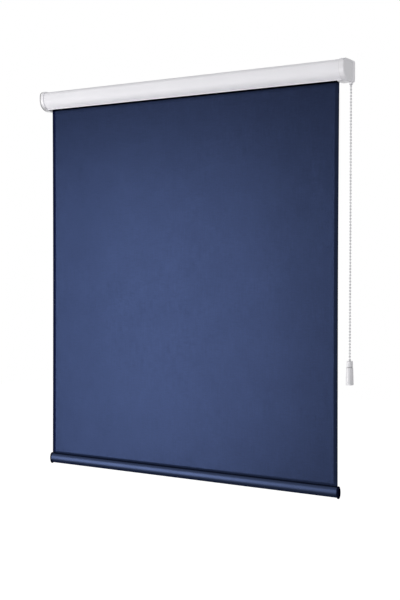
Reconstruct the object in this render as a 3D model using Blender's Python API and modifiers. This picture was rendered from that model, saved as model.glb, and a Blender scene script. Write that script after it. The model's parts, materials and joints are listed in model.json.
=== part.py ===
"""Blackout roller blind in a slim cassette, worked by an endless bead chain with a weight.

Metres, +Z up. The wall is the plane y = 0 and the room is on its -Y side. The origin is the centre
of the flat rear face of the back rail, which goes against the wall.
"""

import math

import bmesh
import bpy
from mathutils import Matrix, Vector

# Cassette
OVERALL_WIDTH = 0.800
CASSETTE_DEPTH = 0.044
CASSETTE_FRONT_HEIGHT = 0.0450  # to the sharp corner that the upper front radius takes off
CASSETTE_REAR_HEIGHT = 0.0414
LOWER_FRONT_RADIUS = 0.025
UPPER_FRONT_RADIUS = 0.011
REAR_RADIUS = 0.0045
EXTRUSION_WALL = 0.0015
FIT_GAP = 0.0003  # between pieces that touch on the real blind

# Back rail, measured up from the cassette's bottom
RAIL_FACE_LIFT = 0.003
RAIL_FACE_HEIGHT = 0.0325
RAIL_FOOT_REACH = 0.006
SEAM_FROM_WALL = 0.0085
HOOK_REACH = 0.003
HOOK_WALL = 0.0012

# Lip of the front cover
LIP_FROM_FRONT = 0.0135
LIP_LIFT = 0.0030
LIP_WALL = 0.0013
LIP_GROOVE = 0.0005

# End caps
CAP_RIM_WALL = 0.0016
CAP_RIM_LENGTH = 0.0115
CAP_PLATE = 0.0018
CAP_PANEL_BORDER = 0.0050
CAP_PANEL_FROM_WALL = 0.011
CAP_PANEL_DEPTH = 0.0006
CAP_EDGE_ROUND = 0.0024
TONGUE_FROM_CLOTH = 0.0020
TONGUE_FROM_WALL = 0.0065
TONGUE_SUNK = 0.0002  # inside the rim's outer face
SMALLEST_CORNER = 0.0005  # radius left on an inset corner

# Side plates
PLATE_WALL = 0.0010
PLATE_NOTCH_HEIGHT = 0.0125
PLATE_NOTCH_FROM_WALL = 0.008
BEND_DEPTH = 0.004
TAB_WALL = 0.0012
TAB_REACH = 0.018
TAB_FOOT = 0.006
TAB_TOP = 0.032
TAB_HOLE_REACH = 0.0135  # from the plate to the line of holes
WALL_HOLE_RADIUS = 0.0023
WALL_HOLE_SPREAD = 0.0095
PLATE_SCREW_RADIUS = 0.0015
PLATE_SCREW_HEAD_RADIUS = 0.0030
PLATE_SCREW_HEAD_HEIGHT = 0.0016
KEY_SIDE = 0.005

# Roller
AXIS_FROM_FRONT = 0.0165
AXIS_HEIGHT = 0.026  # above the cassette's bottom
TUBE_RADIUS = 0.0085
TUBE_WALL = 0.0012
TUBE_GROOVE_WIDTH = 0.0028
TUBE_GROOVE_DEPTH = 0.00075
STRIP_HEIGHT = 0.0005
ROLLED_CLOTH = 0.0005  # two turns, wound tight

# Cloth
LEFT_MARGIN = 0.016  # from the cassette's end to the cloth's edge
RIGHT_MARGIN = 0.0250
CLOTH_THICKNESS = 0.00035
CLOTH_DROP = 0.7748  # from the cassette's bottom to the top of the bottom bar

# Bottom bar
BAR_HEIGHT = 0.0205
BAR_DEPTH = 0.0105
BAR_WALL = 0.0011
BAR_SLOT = 0.0016
BAR_CAP_PROUD = 0.0020
BAR_CAP_PROUD_DEPTH = 0.0008
BAR_CAP_THICKNESS = 0.0034
BAR_CAP_PLUG = 0.014
BAR_CAP_ROUND = 0.0012
HEM_ROD_RADIUS = 0.0016
HEM_INSIDE = 0.0030

# Bead chain
BEAD_DIAMETER = 0.0045
BEAD_PITCH = 0.006
WHEEL_POCKETS = 10
RUN_SPACING = 0.0054
LOOP_TURN = math.radians(31.0)  # of the hanging loop, away from square to the wall
CHAIN_FROM_END = 0.00494
CHAIN_FROM_WALL = 0.00827
CHAIN_DROP = 0.5312  # from the cassette's bottom to the top of the weight
CHAIN_SWING = math.radians(25.0)  # how far the loop can be pulled away from the wall

# Spout of the right end cap
SPOUT_LENGTH = 0.0042
SPOUT_ROOT_RADIUS = 0.0046
SPOUT_TIP_RADIUS = 0.0033
SPOUT_SUNK = 0.0011  # root of the spout inside the cap's rim
RECESS_WALL = 0.0010  # left of the cap's plate beside the chain
RECESS_FRONT = 0.0175
RECESS_REAR = 0.0045
RECESS_HEIGHT = 0.009
CHAIN_BEND_HEIGHT = 0.004  # above the cassette's bottom, where the chain leans to the wheel

# Clutch
WHEEL_WIDTH = 0.0066
WHEEL_FLANGE_PROUD = 0.0012  # beyond the bead centres
POCKET_DIAMETER = 0.0056
CORE_RADIUS = 0.0043
CORE_END_PROUD = 0.0004  # beyond the hub's end wall
CORE_FLANGE_RADIUS = 0.0065
CORE_FLANGE_WALL = 0.0006
BARREL_INNER_RADIUS = 0.00555
BARREL_OUTER_RADIUS = 0.0061
BARREL_LENGTH = 0.035
BARREL_SLOT = 0.0024
SPRING_WIRE = 0.0007
SPRING_RADIUS = 0.0050
SPRING_TURNS = 5
SPRING_PITCH = 0.0013
SPRING_TANG_RADIUS = 0.0059
SPRING_FROM_END = 0.0016  # of the barrel
SPRINGS_APART = 0.0028
HUB_INNER_RADIUS = 0.0064
HUB_FLANGE_WALL = 0.0017
HUB_END_WALL = 0.002
HUB_END_GAP = 0.0011  # to the wheel's barrel

# Idle end
PIN_RADIUS = 0.0025
PIN_COLLAR_RADIUS = 0.0042
PIN_COLLAR_WALL = 0.002
PIN_GUIDE_RADIUS = 0.0018
PIN_GUIDE_LENGTH = 0.0072
PLUG_FLANGE_WALL = 0.0017
PLUG_LENGTH = 0.026
PLUG_FACE_WALL = 0.0035
PLUG_END_WALL = 0.003
PLUG_VENT_RADIUS = 0.0015
BUSH_RADIUS = 0.0050
BUSH_FLANGE_RADIUS = 0.0070
BUSH_FLANGE_WALL = 0.0012
BUSH_LENGTH = 0.0081
PIN_ENGAGEMENT = 0.0069
RETURN_WIRE = 0.0007
RETURN_RADIUS = 0.0031
RETURN_TURNS = 7

# Chain weight
WEIGHT_LENGTH = 0.047
COLLAR_LENGTH = 0.012
COLLAR_TOP_RADIUS = 0.00575
COLLAR_FOOT_RADIUS = 0.00635
WEIGHT_TOP_RADIUS = 0.0066
WEIGHT_FOOT_RADIUS = 0.0077
WEIGHT_EDGE = 0.0009
WEIGHT_DOME = 0.0012
WEIGHT_JOINT_GAP = 0.0006
TURN_RADIUS = 0.0039
TURN_DEPTH = 0.0337  # from the weight's top to the centre of the chain's turn
TURN_SHOULDER = 0.0062  # above the turn's centre, where the runs start to part
PEG_REACH = 0.0055

# Places worked out from the sizes above
HALF_WIDTH = OVERALL_WIDTH / 2
BOTTOM_Z = -(RAIL_FACE_LIFT + RAIL_FACE_HEIGHT / 2)
AXIS = Vector((0.0, AXIS_FROM_FRONT - CASSETTE_DEPTH, BOTTOM_Z + AXIS_HEIGHT))
CLOTH_LEFT = -HALF_WIDTH + LEFT_MARGIN
CLOTH_RIGHT = HALF_WIDTH - RIGHT_MARGIN
ROLL_RADIUS = TUBE_RADIUS + FIT_GAP + ROLLED_CLOTH
CLOTH_Y = AXIS.y + ROLL_RADIUS + FIT_GAP + CLOTH_THICKNESS / 2
COVER_INSET = CAP_RIM_WALL + FIT_GAP
CAP_INNER_X = HALF_WIDTH - CAP_PLATE
PLATE_OUTER_X = CAP_INNER_X - FIT_GAP
PLATE_INNER_X = PLATE_OUTER_X - PLATE_WALL
BEAD_RADIUS = BEAD_DIAMETER / 2
PASSAGE_RADIUS = BEAD_RADIUS + FIT_GAP
WHEEL_PITCH_RADIUS = WHEEL_POCKETS * BEAD_PITCH / (2 * math.pi)
CORE_OUTER_X = PLATE_INNER_X - FIT_GAP
WHEEL_X = CORE_OUTER_X - CORE_FLANGE_WALL - FIT_GAP - WHEEL_WIDTH / 2
BARREL_END_X = WHEEL_X - WHEEL_WIDTH / 2 - BARREL_LENGTH
HUB_END_X = BARREL_END_X - HUB_END_GAP - HUB_END_WALL
CORE_INNER_X = HUB_END_X - CORE_END_PROUD
CHAIN_MIDDLE = Vector((HALF_WIDTH - CHAIN_FROM_END, -CHAIN_FROM_WALL, 0.0))
LOOP_LINE = Vector((math.sin(LOOP_TURN), -math.cos(LOOP_TURN), 0.0))
FRONT_RUN = CHAIN_MIDDLE + LOOP_LINE * (RUN_SPACING / 2)
REAR_RUN = CHAIN_MIDDLE - LOOP_LINE * (RUN_SPACING / 2)
SPOUT_TIP_Z = BOTTOM_Z - SPOUT_LENGTH
WEIGHT_TOP_Z = BOTTOM_Z - CHAIN_DROP
BAR_TOP_Z = BOTTOM_Z - CLOTH_DROP
BAR_CENTRE_Z = BAR_TOP_Z - BAR_HEIGHT / 2

# Fineness of round shapes
ROUND_STEPS = 32
SMALL_STEPS = 20
CORNER_STEPS = 8
SWEEP_STEPS = 18
CAP_EDGE_STEPS = 5

model = None
cutters = None


def clear_scene():
    """Empties the scene and makes the two collections, one for the parts and one for the cutters."""
    global model, cutters
    for old in list(bpy.data.objects):
        bpy.data.objects.remove(old, do_unlink=True)
    model = bpy.data.collections.new("Blackout roller blind")
    cutters = bpy.data.collections.new("Cutters")
    for collection in (model, cutters):
        bpy.context.scene.collection.children.link(collection)


def material(name, colour, roughness, metallic=0.0):
    """One Principled material."""
    made = bpy.data.materials.new(name)
    made.use_nodes = True
    shader = made.node_tree.nodes["Principled BSDF"]
    shader.inputs["Base Color"].default_value = (*colour, 1.0)
    shader.inputs["Roughness"].default_value = roughness
    shader.inputs["Metallic"].default_value = metallic
    return made


def mesh_object(name, mesh):
    """A new object of the model that shows a mesh."""
    obj = bpy.data.objects.new(name, mesh)
    model.objects.link(obj)
    return obj


def evaluated_mesh(obj, weld=1e-6):
    """The object's shape in world space as a welded mesh that faces outwards. The object is removed."""
    bpy.context.view_layer.update()
    graph = bpy.context.evaluated_depsgraph_get()
    mesh = bpy.data.meshes.new_from_object(obj.evaluated_get(graph), depsgraph=graph)
    work = bmesh.new()
    work.from_mesh(mesh)
    bmesh.ops.transform(work, matrix=obj.matrix_world, verts=work.verts)
    bmesh.ops.remove_doubles(work, verts=work.verts, dist=weld)
    bmesh.ops.recalc_face_normals(work, faces=work.faces)
    work.to_mesh(mesh)
    work.free()
    bpy.data.objects.remove(obj, do_unlink=True)
    return mesh


def finish(obj, finish_material, origin, smooth=True):
    """Gives the part its material and shading, and puts its origin at a point."""
    obj.data.materials.clear()
    obj.data.materials.append(finish_material)
    obj.data.transform(Matrix.Translation(-Vector(origin)))
    obj.location = origin
    if smooth:
        obj.data.shade_smooth()
        obj.data.set_sharp_from_angle(angle=math.radians(35))
    return obj


def box(name, low, high):
    """An axis-aligned box between two corners, from the cube primitive."""
    low, high = Vector(low), Vector(high)
    size = high - low
    work = bmesh.new()
    bmesh.ops.create_cube(work, size=1.0)
    place = Matrix.Translation((low + high) / 2) @ Matrix.Diagonal((*size, 1.0))
    bmesh.ops.transform(work, matrix=place, verts=work.verts)
    mesh = bpy.data.meshes.new(name)
    work.to_mesh(mesh)
    work.free()
    return mesh_object(name, mesh)


def cylinder(name, start, end, radius, steps=SMALL_STEPS):
    """A cylinder between two points, from the cone primitive."""
    start, end = Vector(start), Vector(end)
    along = end - start
    work = bmesh.new()
    bmesh.ops.create_cone(
        work, cap_ends=True, segments=steps, radius1=radius, radius2=radius, depth=along.length
    )
    turn = along.to_track_quat("Z", "Y").to_matrix().to_4x4()
    bmesh.ops.transform(work, matrix=Matrix.Translation((start + end) / 2) @ turn, verts=work.verts)
    mesh = bpy.data.meshes.new(name)
    work.to_mesh(mesh)
    work.free()
    return mesh_object(name, mesh)


def extrusion(name, outline, x_low, x_high):
    """A flat outline of (y, z) points carried along X, from a filled 2D curve."""
    curve = bpy.data.curves.new(name, "CURVE")
    curve.dimensions = "2D"
    curve.fill_mode = "BOTH"
    curve.extrude = (x_high - x_low) / 2
    spline = curve.splines.new("POLY")
    spline.points.add(len(outline) - 1)
    for point, (y, z) in zip(spline.points, outline):
        point.co = (y, z, 0.0, 1.0)
    spline.use_cyclic_u = True
    flat = bpy.data.objects.new(name + " outline", curve)
    bpy.context.scene.collection.objects.link(flat)
    axes = Matrix(((0, 0, 1, (x_low + x_high) / 2), (1, 0, 0, 0), (0, 1, 0, 0), (0, 0, 0, 1)))
    flat.matrix_world = axes
    return mesh_object(name, evaluated_mesh(flat))


def turned(name, profile, centre, axis="X", steps=ROUND_STEPS, closed=True):
    """A profile of (along, radius) points turned about an axis through the centre, by a Screw."""
    mesh = bpy.data.meshes.new(name)
    if axis == "X":
        points = [(along, 0.0, radius) for along, radius in profile]
    else:
        points = [(radius, 0.0, along) for along, radius in profile]
    edges = [(i, i + 1) for i in range(len(points) - 1)]
    if closed:
        edges.append((len(points) - 1, 0))
    mesh.from_pydata(points, edges, [])
    lathe = bpy.data.objects.new(name + " profile", mesh)
    bpy.context.scene.collection.objects.link(lathe)
    lathe.location = centre
    screw = lathe.modifiers.new("Screw", "SCREW")
    screw.axis = axis
    screw.steps = steps
    screw.render_steps = steps
    screw.use_merge_vertices = True
    screw.merge_threshold = 1e-6
    return mesh_object(name, evaluated_mesh(lathe))


def tube(name, points, diameter, sides_level=2):
    """A round tube along points, from a curve with a bevel and filled caps."""
    curve = bpy.data.curves.new(name, "CURVE")
    curve.dimensions = "3D"
    curve.bevel_depth = diameter / 2
    curve.bevel_resolution = sides_level
    curve.use_fill_caps = True
    spline = curve.splines.new("POLY")
    spline.points.add(len(points) - 1)
    for point, place in zip(spline.points, points):
        point.co = (*place, 1.0)
    wire = bpy.data.objects.new(name + " path", curve)
    bpy.context.scene.collection.objects.link(wire)
    return mesh_object(name, evaluated_mesh(wire))


def smooth_route(stops, per_span):
    """Points of a Catmull-Rom curve through the stops."""
    stops = [Vector(stop) for stop in stops]
    padded = [2 * stops[0] - stops[1], *stops, 2 * stops[-1] - stops[-2]]
    points = []
    for i in range(1, len(padded) - 2):
        before, here, after, beyond = padded[i - 1 : i + 3]
        for step in range(per_span):
            t = step / per_span
            points.append(
                0.5
                * (
                    2 * here
                    + (after - before) * t
                    + (2 * before - 5 * here + 4 * after - beyond) * t**2
                    + (3 * here - before - 3 * after + beyond) * t**3
                )
            )
    points.append(stops[-1])
    return points


def boolean(obj, other, operation="DIFFERENCE"):
    """Cuts or joins another shape, which becomes a hidden helper."""
    for collection in list(other.users_collection):
        collection.objects.unlink(other)
    cutters.objects.link(other)
    other.hide_render = True
    other.display_type = "WIRE"
    modifier = obj.modifiers.new(other.name, "BOOLEAN")
    modifier.operation = operation
    modifier.object = other
    modifier.solver = "EXACT"


def applied(obj, name):
    """The part with its modifiers made into its mesh, so that its origin can move."""
    return mesh_object(name, evaluated_mesh(obj))


def inset_corners(corners, distance):
    """The corners of a convex outline whose sides have all moved inwards by a distance."""
    count = len(corners)
    sides = []
    for i in range(count):
        start, end = Vector(corners[i]), Vector(corners[(i + 1) % count])
        along = (end - start).normalized()
        inward = Vector((-along.y, along.x))
        sides.append((start + inward * distance, along))
    moved = []
    for i in range(count):
        (p, d), (q, e) = sides[i - 1], sides[i]
        cross = d.x * e.y - d.y * e.x
        reach = ((q.x - p.x) * e.y - (q.y - p.y) * e.x) / cross
        moved.append(p + d * reach)
    return moved


def corner_arc(before, corner, after, radius, steps):
    """Points of the arc that rounds one corner of an outline."""
    into, out = (before - corner).normalized(), (after - corner).normalized()
    half = math.acos(max(-1.0, min(1.0, into.dot(out)))) / 2
    start = corner + into * (radius / math.tan(half))
    centre = corner + (into + out).normalized() * (radius / math.sin(half))
    first = start - centre
    swing = math.pi - 2 * half
    turn = 1 if into.x * out.y - into.y * out.x < 0 else -1
    points = []
    for step in range(steps + 1):
        angle = turn * swing * step / steps
        x = first.x * math.cos(angle) - first.y * math.sin(angle)
        y = first.x * math.sin(angle) + first.y * math.cos(angle)
        points.append((centre.x + x, centre.y + y))
    return points


def cassette_arcs(inset):
    """The four rounded corners of the cassette's end view, inset all round: rear foot, front foot,
    front top and rear top, each a list of (y, z) points."""
    corners = [
        (0.0, BOTTOM_Z),
        (0.0, BOTTOM_Z + CASSETTE_REAR_HEIGHT),
        (-CASSETTE_DEPTH, BOTTOM_Z + CASSETTE_FRONT_HEIGHT),
        (-CASSETTE_DEPTH, BOTTOM_Z),
    ]
    radii = (REAR_RADIUS, REAR_RADIUS, UPPER_FRONT_RADIUS, LOWER_FRONT_RADIUS)
    steps = (CORNER_STEPS, CORNER_STEPS, CORNER_STEPS, SWEEP_STEPS)
    moved = inset_corners(corners, inset)
    arcs = []
    for i, (radius, count) in enumerate(zip(radii, steps)):
        rounding = max(radius - inset, SMALLEST_CORNER)
        arcs.append(corner_arc(moved[i - 1], moved[i], moved[(i + 1) % 4], rounding, count))
    rear_foot, rear_top, front_top, front_foot = arcs
    return rear_foot, rear_top, front_top, front_foot


def cassette_outline(inset):
    """The closed end view of the cassette, inset all round."""
    return [point for arc in cassette_arcs(inset) for point in arc]


def obround_prism(name, levels):
    """A shape round the two runs of the chain: an obround at each level, joined by straight sides.

    A level is (z, half the distance between the two centres, radius)."""
    across = Vector((-LOOP_LINE.y, LOOP_LINE.x, 0.0))
    work = bmesh.new()
    rings = []
    half_steps = SMALL_STEPS // 2
    for z, half_spread, radius in levels:
        ring = []
        for end in (1, -1):
            centre = CHAIN_MIDDLE + LOOP_LINE * (half_spread * end)
            for step in range(half_steps + 1):
                angle = math.pi * step / half_steps - math.pi / 2
                out = LOOP_LINE * (end * math.cos(angle)) + across * (end * math.sin(angle))
                place = centre + out * radius
                ring.append(work.verts.new((place.x, place.y, z)))
        rings.append(ring)
    count = len(rings[0])
    for low, high in zip(rings, rings[1:]):
        for i in range(count):
            j = (i + 1) % count
            work.faces.new((low[i], low[j], high[j], high[i]))
    work.faces.new(rings[0])
    work.faces.new(rings[-1])
    bmesh.ops.recalc_face_normals(work, faces=work.faces)
    mesh = bpy.data.meshes.new(name)
    work.to_mesh(mesh)
    work.free()
    return mesh_object(name, mesh)


def back_rail(aluminium):
    """Extruded rail: a rear face on the wall, a foot below and a top that carries the cover's hook."""
    _, outer, _, _ = cassette_arcs(COVER_INSET)
    _, inner, _, _ = cassette_arcs(COVER_INSET + EXTRUSION_WALL)
    foot_z = BOTTOM_Z + RAIL_FACE_LIFT
    face_top = foot_z + RAIL_FACE_HEIGHT
    inner_y = inner[0][0]
    outline = [(0.0, foot_z), (0.0, face_top), (outer[0][0], face_top)]
    outline += outer
    outline += [
        (-SEAM_FROM_WALL, top_line_z(-SEAM_FROM_WALL, COVER_INSET)),
        (-SEAM_FROM_WALL, top_line_z(-SEAM_FROM_WALL, COVER_INSET + EXTRUSION_WALL)),
    ]
    outline += inner[::-1]
    outline += [
        (inner_y, face_top - EXTRUSION_WALL),
        (-EXTRUSION_WALL, face_top - 2 * EXTRUSION_WALL),
        (-EXTRUSION_WALL, foot_z + EXTRUSION_WALL),
        (-RAIL_FOOT_REACH, foot_z + EXTRUSION_WALL),
        (-RAIL_FOOT_REACH, foot_z),
    ]
    rail = extrusion("back_rail", outline, -PLATE_OUTER_X, PLATE_OUTER_X)
    for side in (-1, 1):
        for x, z, radius in plate_holes(side):
            hole = cylinder(
                "rail hole",
                (x, FIT_GAP, z),
                (x, -2 * EXTRUSION_WALL, z),
                radius,
            )
            boolean(rail, hole)
        low, high = mirrored_span(side, HALF_WIDTH - CAP_RIM_LENGTH - FIT_GAP, HALF_WIDTH)
        foot_notch = box(
            "rail foot notch",
            (low, -2 * RAIL_FOOT_REACH, foot_z - FIT_GAP),
            (high, -EXTRUSION_WALL - FIT_GAP, foot_z + EXTRUSION_WALL + FIT_GAP),
        )
        boolean(rail, foot_notch)
    return finish(applied(rail, "back_rail"), aluminium, (0, 0, 0))


def top_line_z(y, inset):
    """Height of the cassette's sloping top at a distance from the wall, inset by a wall."""
    slope = (CASSETTE_FRONT_HEIGHT - CASSETTE_REAR_HEIGHT) / CASSETTE_DEPTH
    drop = inset * math.sqrt(1 + slope**2)
    return BOTTOM_Z + CASSETTE_REAR_HEIGHT - slope * y - drop


def in_front_of(outline, y_stop):
    """The part of a closed outline that lies in front of a line."""
    kept = []
    for i, here in enumerate(outline):
        before = outline[i - 1]
        if (before[0] < y_stop) != (here[0] < y_stop):
            share = (y_stop - before[0]) / (here[0] - before[0])
            kept.append((y_stop, before[1] + share * (here[1] - before[1])))
        if here[0] < y_stop:
            kept.append(here)
    return kept


def sweep_from(arc, y_stop):
    """The part of the lower front sweep in front of a line, ended on that line."""
    kept = [point for point in arc if point[0] < y_stop]
    before = kept[-1]
    after = arc[len(kept)]
    share = (y_stop - before[0]) / (after[0] - before[0])
    return [*kept, (y_stop, before[1] + share * (after[1] - before[1]))]


def front_fascia(aluminium):
    """Extruded front cover: a hook under the rail's top, a flat front, a sweep and a lip."""
    _, _, outer_top, outer_foot = cassette_arcs(COVER_INSET)
    _, _, inner_top, inner_foot = cassette_arcs(COVER_INSET + EXTRUSION_WALL)
    start_y = -SEAM_FROM_WALL - FIT_GAP
    hook_top = COVER_INSET + EXTRUSION_WALL + FIT_GAP
    lip_front = LIP_FROM_FRONT - CASSETTE_DEPTH
    lip_back = lip_front + LIP_WALL
    outer_sweep = sweep_from(outer_foot, lip_front)
    inner_sweep = sweep_from(inner_foot, lip_back)
    lip_z = BOTTOM_Z + LIP_LIFT
    sweep_end = outer_sweep[-1]
    outline = [(start_y, top_line_z(start_y, COVER_INSET))]
    outline += outer_top
    outline += outer_sweep
    outline += [
        (sweep_end[0] + LIP_GROOVE, sweep_end[1]),
        (sweep_end[0] + LIP_GROOVE, sweep_end[1] - LIP_GROOVE),
        (sweep_end[0], sweep_end[1] - LIP_GROOVE),
        (lip_front, lip_z),
        (lip_back, lip_z),
    ]
    outline += inner_sweep[::-1]
    outline += inner_top[::-1]
    outline += [
        (start_y - HOOK_WALL, top_line_z(start_y - HOOK_WALL, hook_top + HOOK_WALL)),
        (start_y + HOOK_REACH, top_line_z(start_y + HOOK_REACH, hook_top + HOOK_WALL)),
        (start_y + HOOK_REACH, top_line_z(start_y + HOOK_REACH, hook_top)),
        (start_y, top_line_z(start_y, hook_top)),
    ]
    end = PLATE_INNER_X - FIT_GAP
    cover = extrusion("front_fascia", outline, -end, end)
    for side in (-1, 1):
        low, high = mirrored_span(side, HALF_WIDTH - CAP_RIM_LENGTH - FIT_GAP, HALF_WIDTH)
        lip_notch = box(
            "lip notch",
            (low, lip_front - LIP_WALL, lip_z - LIP_WALL),
            (high, lip_back + LIP_WALL, sweep_end[1] - LIP_GROOVE / 2),
        )
        boolean(cover, lip_notch)
    return finish(applied(cover, "front_fascia"), aluminium, (0, 0, 0))


def mirrored_span(side, inner, outer):
    """The low and high ends along X of a span that is inner to outer on one side."""
    return (inner, outer) if side > 0 else (-outer, -inner)


def end_cap(name, side, plastic):
    """Moulded cup that closes the cassette: a plate, a rim round the cover and a bordered panel."""
    low, high = mirrored_span(side, HALF_WIDTH - CAP_RIM_LENGTH, HALF_WIDTH)
    cap = extrusion(name, cassette_outline(0.0), low, high)
    round_outer_edge(cap, side * HALF_WIDTH)
    low, high = mirrored_span(side, HALF_WIDTH - CAP_RIM_LENGTH - FIT_GAP, CAP_INNER_X)
    boolean(cap, extrusion(name + " hollow", cassette_outline(CAP_RIM_WALL), low, high))
    rear_gap = box(
        name + " rail gap",
        (low, -2 * CAP_RIM_WALL, BOTTOM_Z + RAIL_FACE_LIFT - FIT_GAP),
        (high, FIT_GAP, BOTTOM_Z + RAIL_FACE_LIFT + RAIL_FACE_HEIGHT + FIT_GAP),
    )
    boolean(cap, rear_gap)
    boolean(cap, slot_tongue(name, side), "UNION")
    low, high = mirrored_span(side, HALF_WIDTH - CAP_PANEL_DEPTH, HALF_WIDTH + FIT_GAP)
    panel = in_front_of(cassette_outline(CAP_PANEL_BORDER), -CAP_PANEL_FROM_WALL)
    boolean(cap, extrusion(name + " panel", panel, low, high))
    if side > 0:
        add_spout(cap)
    return finish(applied(cap, name), plastic, (side * HALF_WIDTH, 0, 0))


def slot_tongue(name, side):
    """The floor of an end cap carried on towards the cloth, where it closes the slot beside it."""
    cloth_edge = -CLOTH_LEFT if side < 0 else CLOTH_RIGHT
    rim_start = HALF_WIDTH - CAP_RIM_LENGTH
    low, high = mirrored_span(side, cloth_edge + TONGUE_FROM_CLOTH, rim_start + CAP_RIM_WALL)
    tongue = extrusion(name + " tongue", cassette_outline(TONGUE_SUNK), low, high)
    room = extrusion(
        name + " tongue room", cassette_outline(CAP_RIM_WALL - TONGUE_SUNK), low - FIT_GAP, high + FIT_GAP
    )
    boolean(tongue, room)
    reach = box(
        name + " tongue reach",
        (low - FIT_GAP, LIP_FROM_FRONT - CASSETTE_DEPTH + LIP_WALL + FIT_GAP, BOTTOM_Z - FIT_GAP),
        (high + FIT_GAP, -TONGUE_FROM_WALL, BOTTOM_Z + LIP_LIFT + LIP_WALL),
    )
    boolean(tongue, reach, "INTERSECT")
    return mesh_object(name + " tongue body", evaluated_mesh(tongue))


def round_outer_edge(cap, x):
    """Rounds the edge between the cap's outer face and its rim."""
    work = bmesh.new()
    work.from_mesh(cap.data)
    edges = [
        edge
        for edge in work.edges
        if all(abs(vert.co.x - x) < 1e-6 for vert in edge.verts)
        and edge.calc_face_angle(0.0) > math.radians(45)
    ]
    bmesh.ops.bevel(
        work, geom=edges, offset=CAP_EDGE_ROUND, segments=CAP_EDGE_STEPS, profile=0.5, affect="EDGES"
    )
    work.to_mesh(cap.data)
    work.free()


def add_spout(cap):
    """The tapered spout that leads both runs of the chain out of the right end cap."""
    half = RUN_SPACING / 2
    inside_z = BOTTOM_Z + SPOUT_SUNK
    spout = obround_prism(
        "spout", [(SPOUT_TIP_Z, half, SPOUT_TIP_RADIUS), (inside_z, half, SPOUT_ROOT_RADIUS)]
    )
    flush = HALF_WIDTH - FIT_GAP
    trim = box(
        "spout trim",
        (flush, -CASSETTE_DEPTH, SPOUT_TIP_Z - SPOUT_LENGTH),
        (flush + SPOUT_ROOT_RADIUS, CAP_RIM_WALL, BOTTOM_Z + 2 * SPOUT_LENGTH),
    )
    rear_trim = box(
        "spout rear trim",
        (HALF_WIDTH - CAP_RIM_LENGTH, -FIT_GAP, SPOUT_TIP_Z - SPOUT_LENGTH),
        (HALF_WIDTH + SPOUT_ROOT_RADIUS, SPOUT_ROOT_RADIUS, BOTTOM_Z + SPOUT_LENGTH),
    )
    boolean(spout, trim)
    boolean(spout, rear_trim)
    boolean(cap, mesh_object("spout body", evaluated_mesh(spout)), "UNION")
    passage = obround_prism(
        "chain passage",
        [
            (SPOUT_TIP_Z - SPOUT_LENGTH, half, PASSAGE_RADIUS),
            (BOTTOM_Z + 2 * CAP_RIM_WALL, half, PASSAGE_RADIUS),
        ],
    )
    boolean(cap, passage)
    recess = box(
        "chain recess",
        (CAP_INNER_X - FIT_GAP, -RECESS_FRONT, BOTTOM_Z + CAP_RIM_WALL),
        (HALF_WIDTH - RECESS_WALL, -RECESS_REAR, BOTTOM_Z + RECESS_HEIGHT),
    )
    boolean(cap, recess)


def plate_holes(side):
    """(x, z, radius) of the holes through a side plate's tab and the rail behind it."""
    x = side * (PLATE_INNER_X - TAB_HOLE_REACH)
    middle = BOTTOM_Z + (TAB_FOOT + TAB_TOP) / 2
    return [
        (x, middle, PLATE_SCREW_RADIUS + FIT_GAP),
        (x, middle - WALL_HOLE_SPREAD, WALL_HOLE_RADIUS),
        (x, middle + WALL_HOLE_SPREAD, WALL_HOLE_RADIUS),
    ]


def side_plate(name, side, steel):
    """Bent steel plate that carries one end of the roller, with a tab screwed to the rail."""
    tab_back = -EXTRUSION_WALL - FIT_GAP
    low, high = mirrored_span(side, PLATE_INNER_X, PLATE_OUTER_X)
    plate = extrusion(name, cassette_outline(COVER_INSET + EXTRUSION_WALL + FIT_GAP), low, high)
    notch = box(
        name + " notch",
        (low - FIT_GAP, -2 * CASSETTE_DEPTH, BOTTOM_Z - CASSETTE_DEPTH),
        (high + FIT_GAP, -PLATE_NOTCH_FROM_WALL, BOTTOM_Z + PLATE_NOTCH_HEIGHT),
    )
    boolean(plate, notch)
    foot = box(
        name + " foot",
        (low - FIT_GAP, -2 * CASSETTE_DEPTH, BOTTOM_Z - CASSETTE_DEPTH),
        (high + FIT_GAP, CASSETTE_DEPTH, BOTTOM_Z + TAB_FOOT),
    )
    boolean(plate, foot)
    tab_low, tab_high = mirrored_span(side, PLATE_INNER_X - TAB_REACH, PLATE_OUTER_X)
    tab = box(
        name + " tab",
        (tab_low, tab_back - TAB_WALL, BOTTOM_Z + TAB_FOOT),
        (tab_high, tab_back, BOTTOM_Z + TAB_TOP),
    )
    boolean(plate, tab, "UNION")
    bend = box(
        name + " bend",
        (low, tab_back - BEND_DEPTH, BOTTOM_Z + TAB_FOOT),
        (high, tab_back, BOTTOM_Z + TAB_TOP),
    )
    boolean(plate, bend, "UNION")
    for x, z, radius in plate_holes(side):
        hole = cylinder(
            name + " hole",
            (x, 0.0, z),
            (x, tab_back - 2 * TAB_WALL, z),
            radius,
        )
        boolean(plate, hole)
    key = KEY_SIDE / 2 + FIT_GAP
    key_hole = box(
        name + " key hole",
        (low - FIT_GAP, AXIS.y - key, AXIS.z - key),
        (high + FIT_GAP, AXIS.y + key, AXIS.z + key),
    )
    boolean(plate, key_hole)
    return finish(applied(plate, name), steel, (side * PLATE_INNER_X, AXIS.y, AXIS.z))


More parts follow.
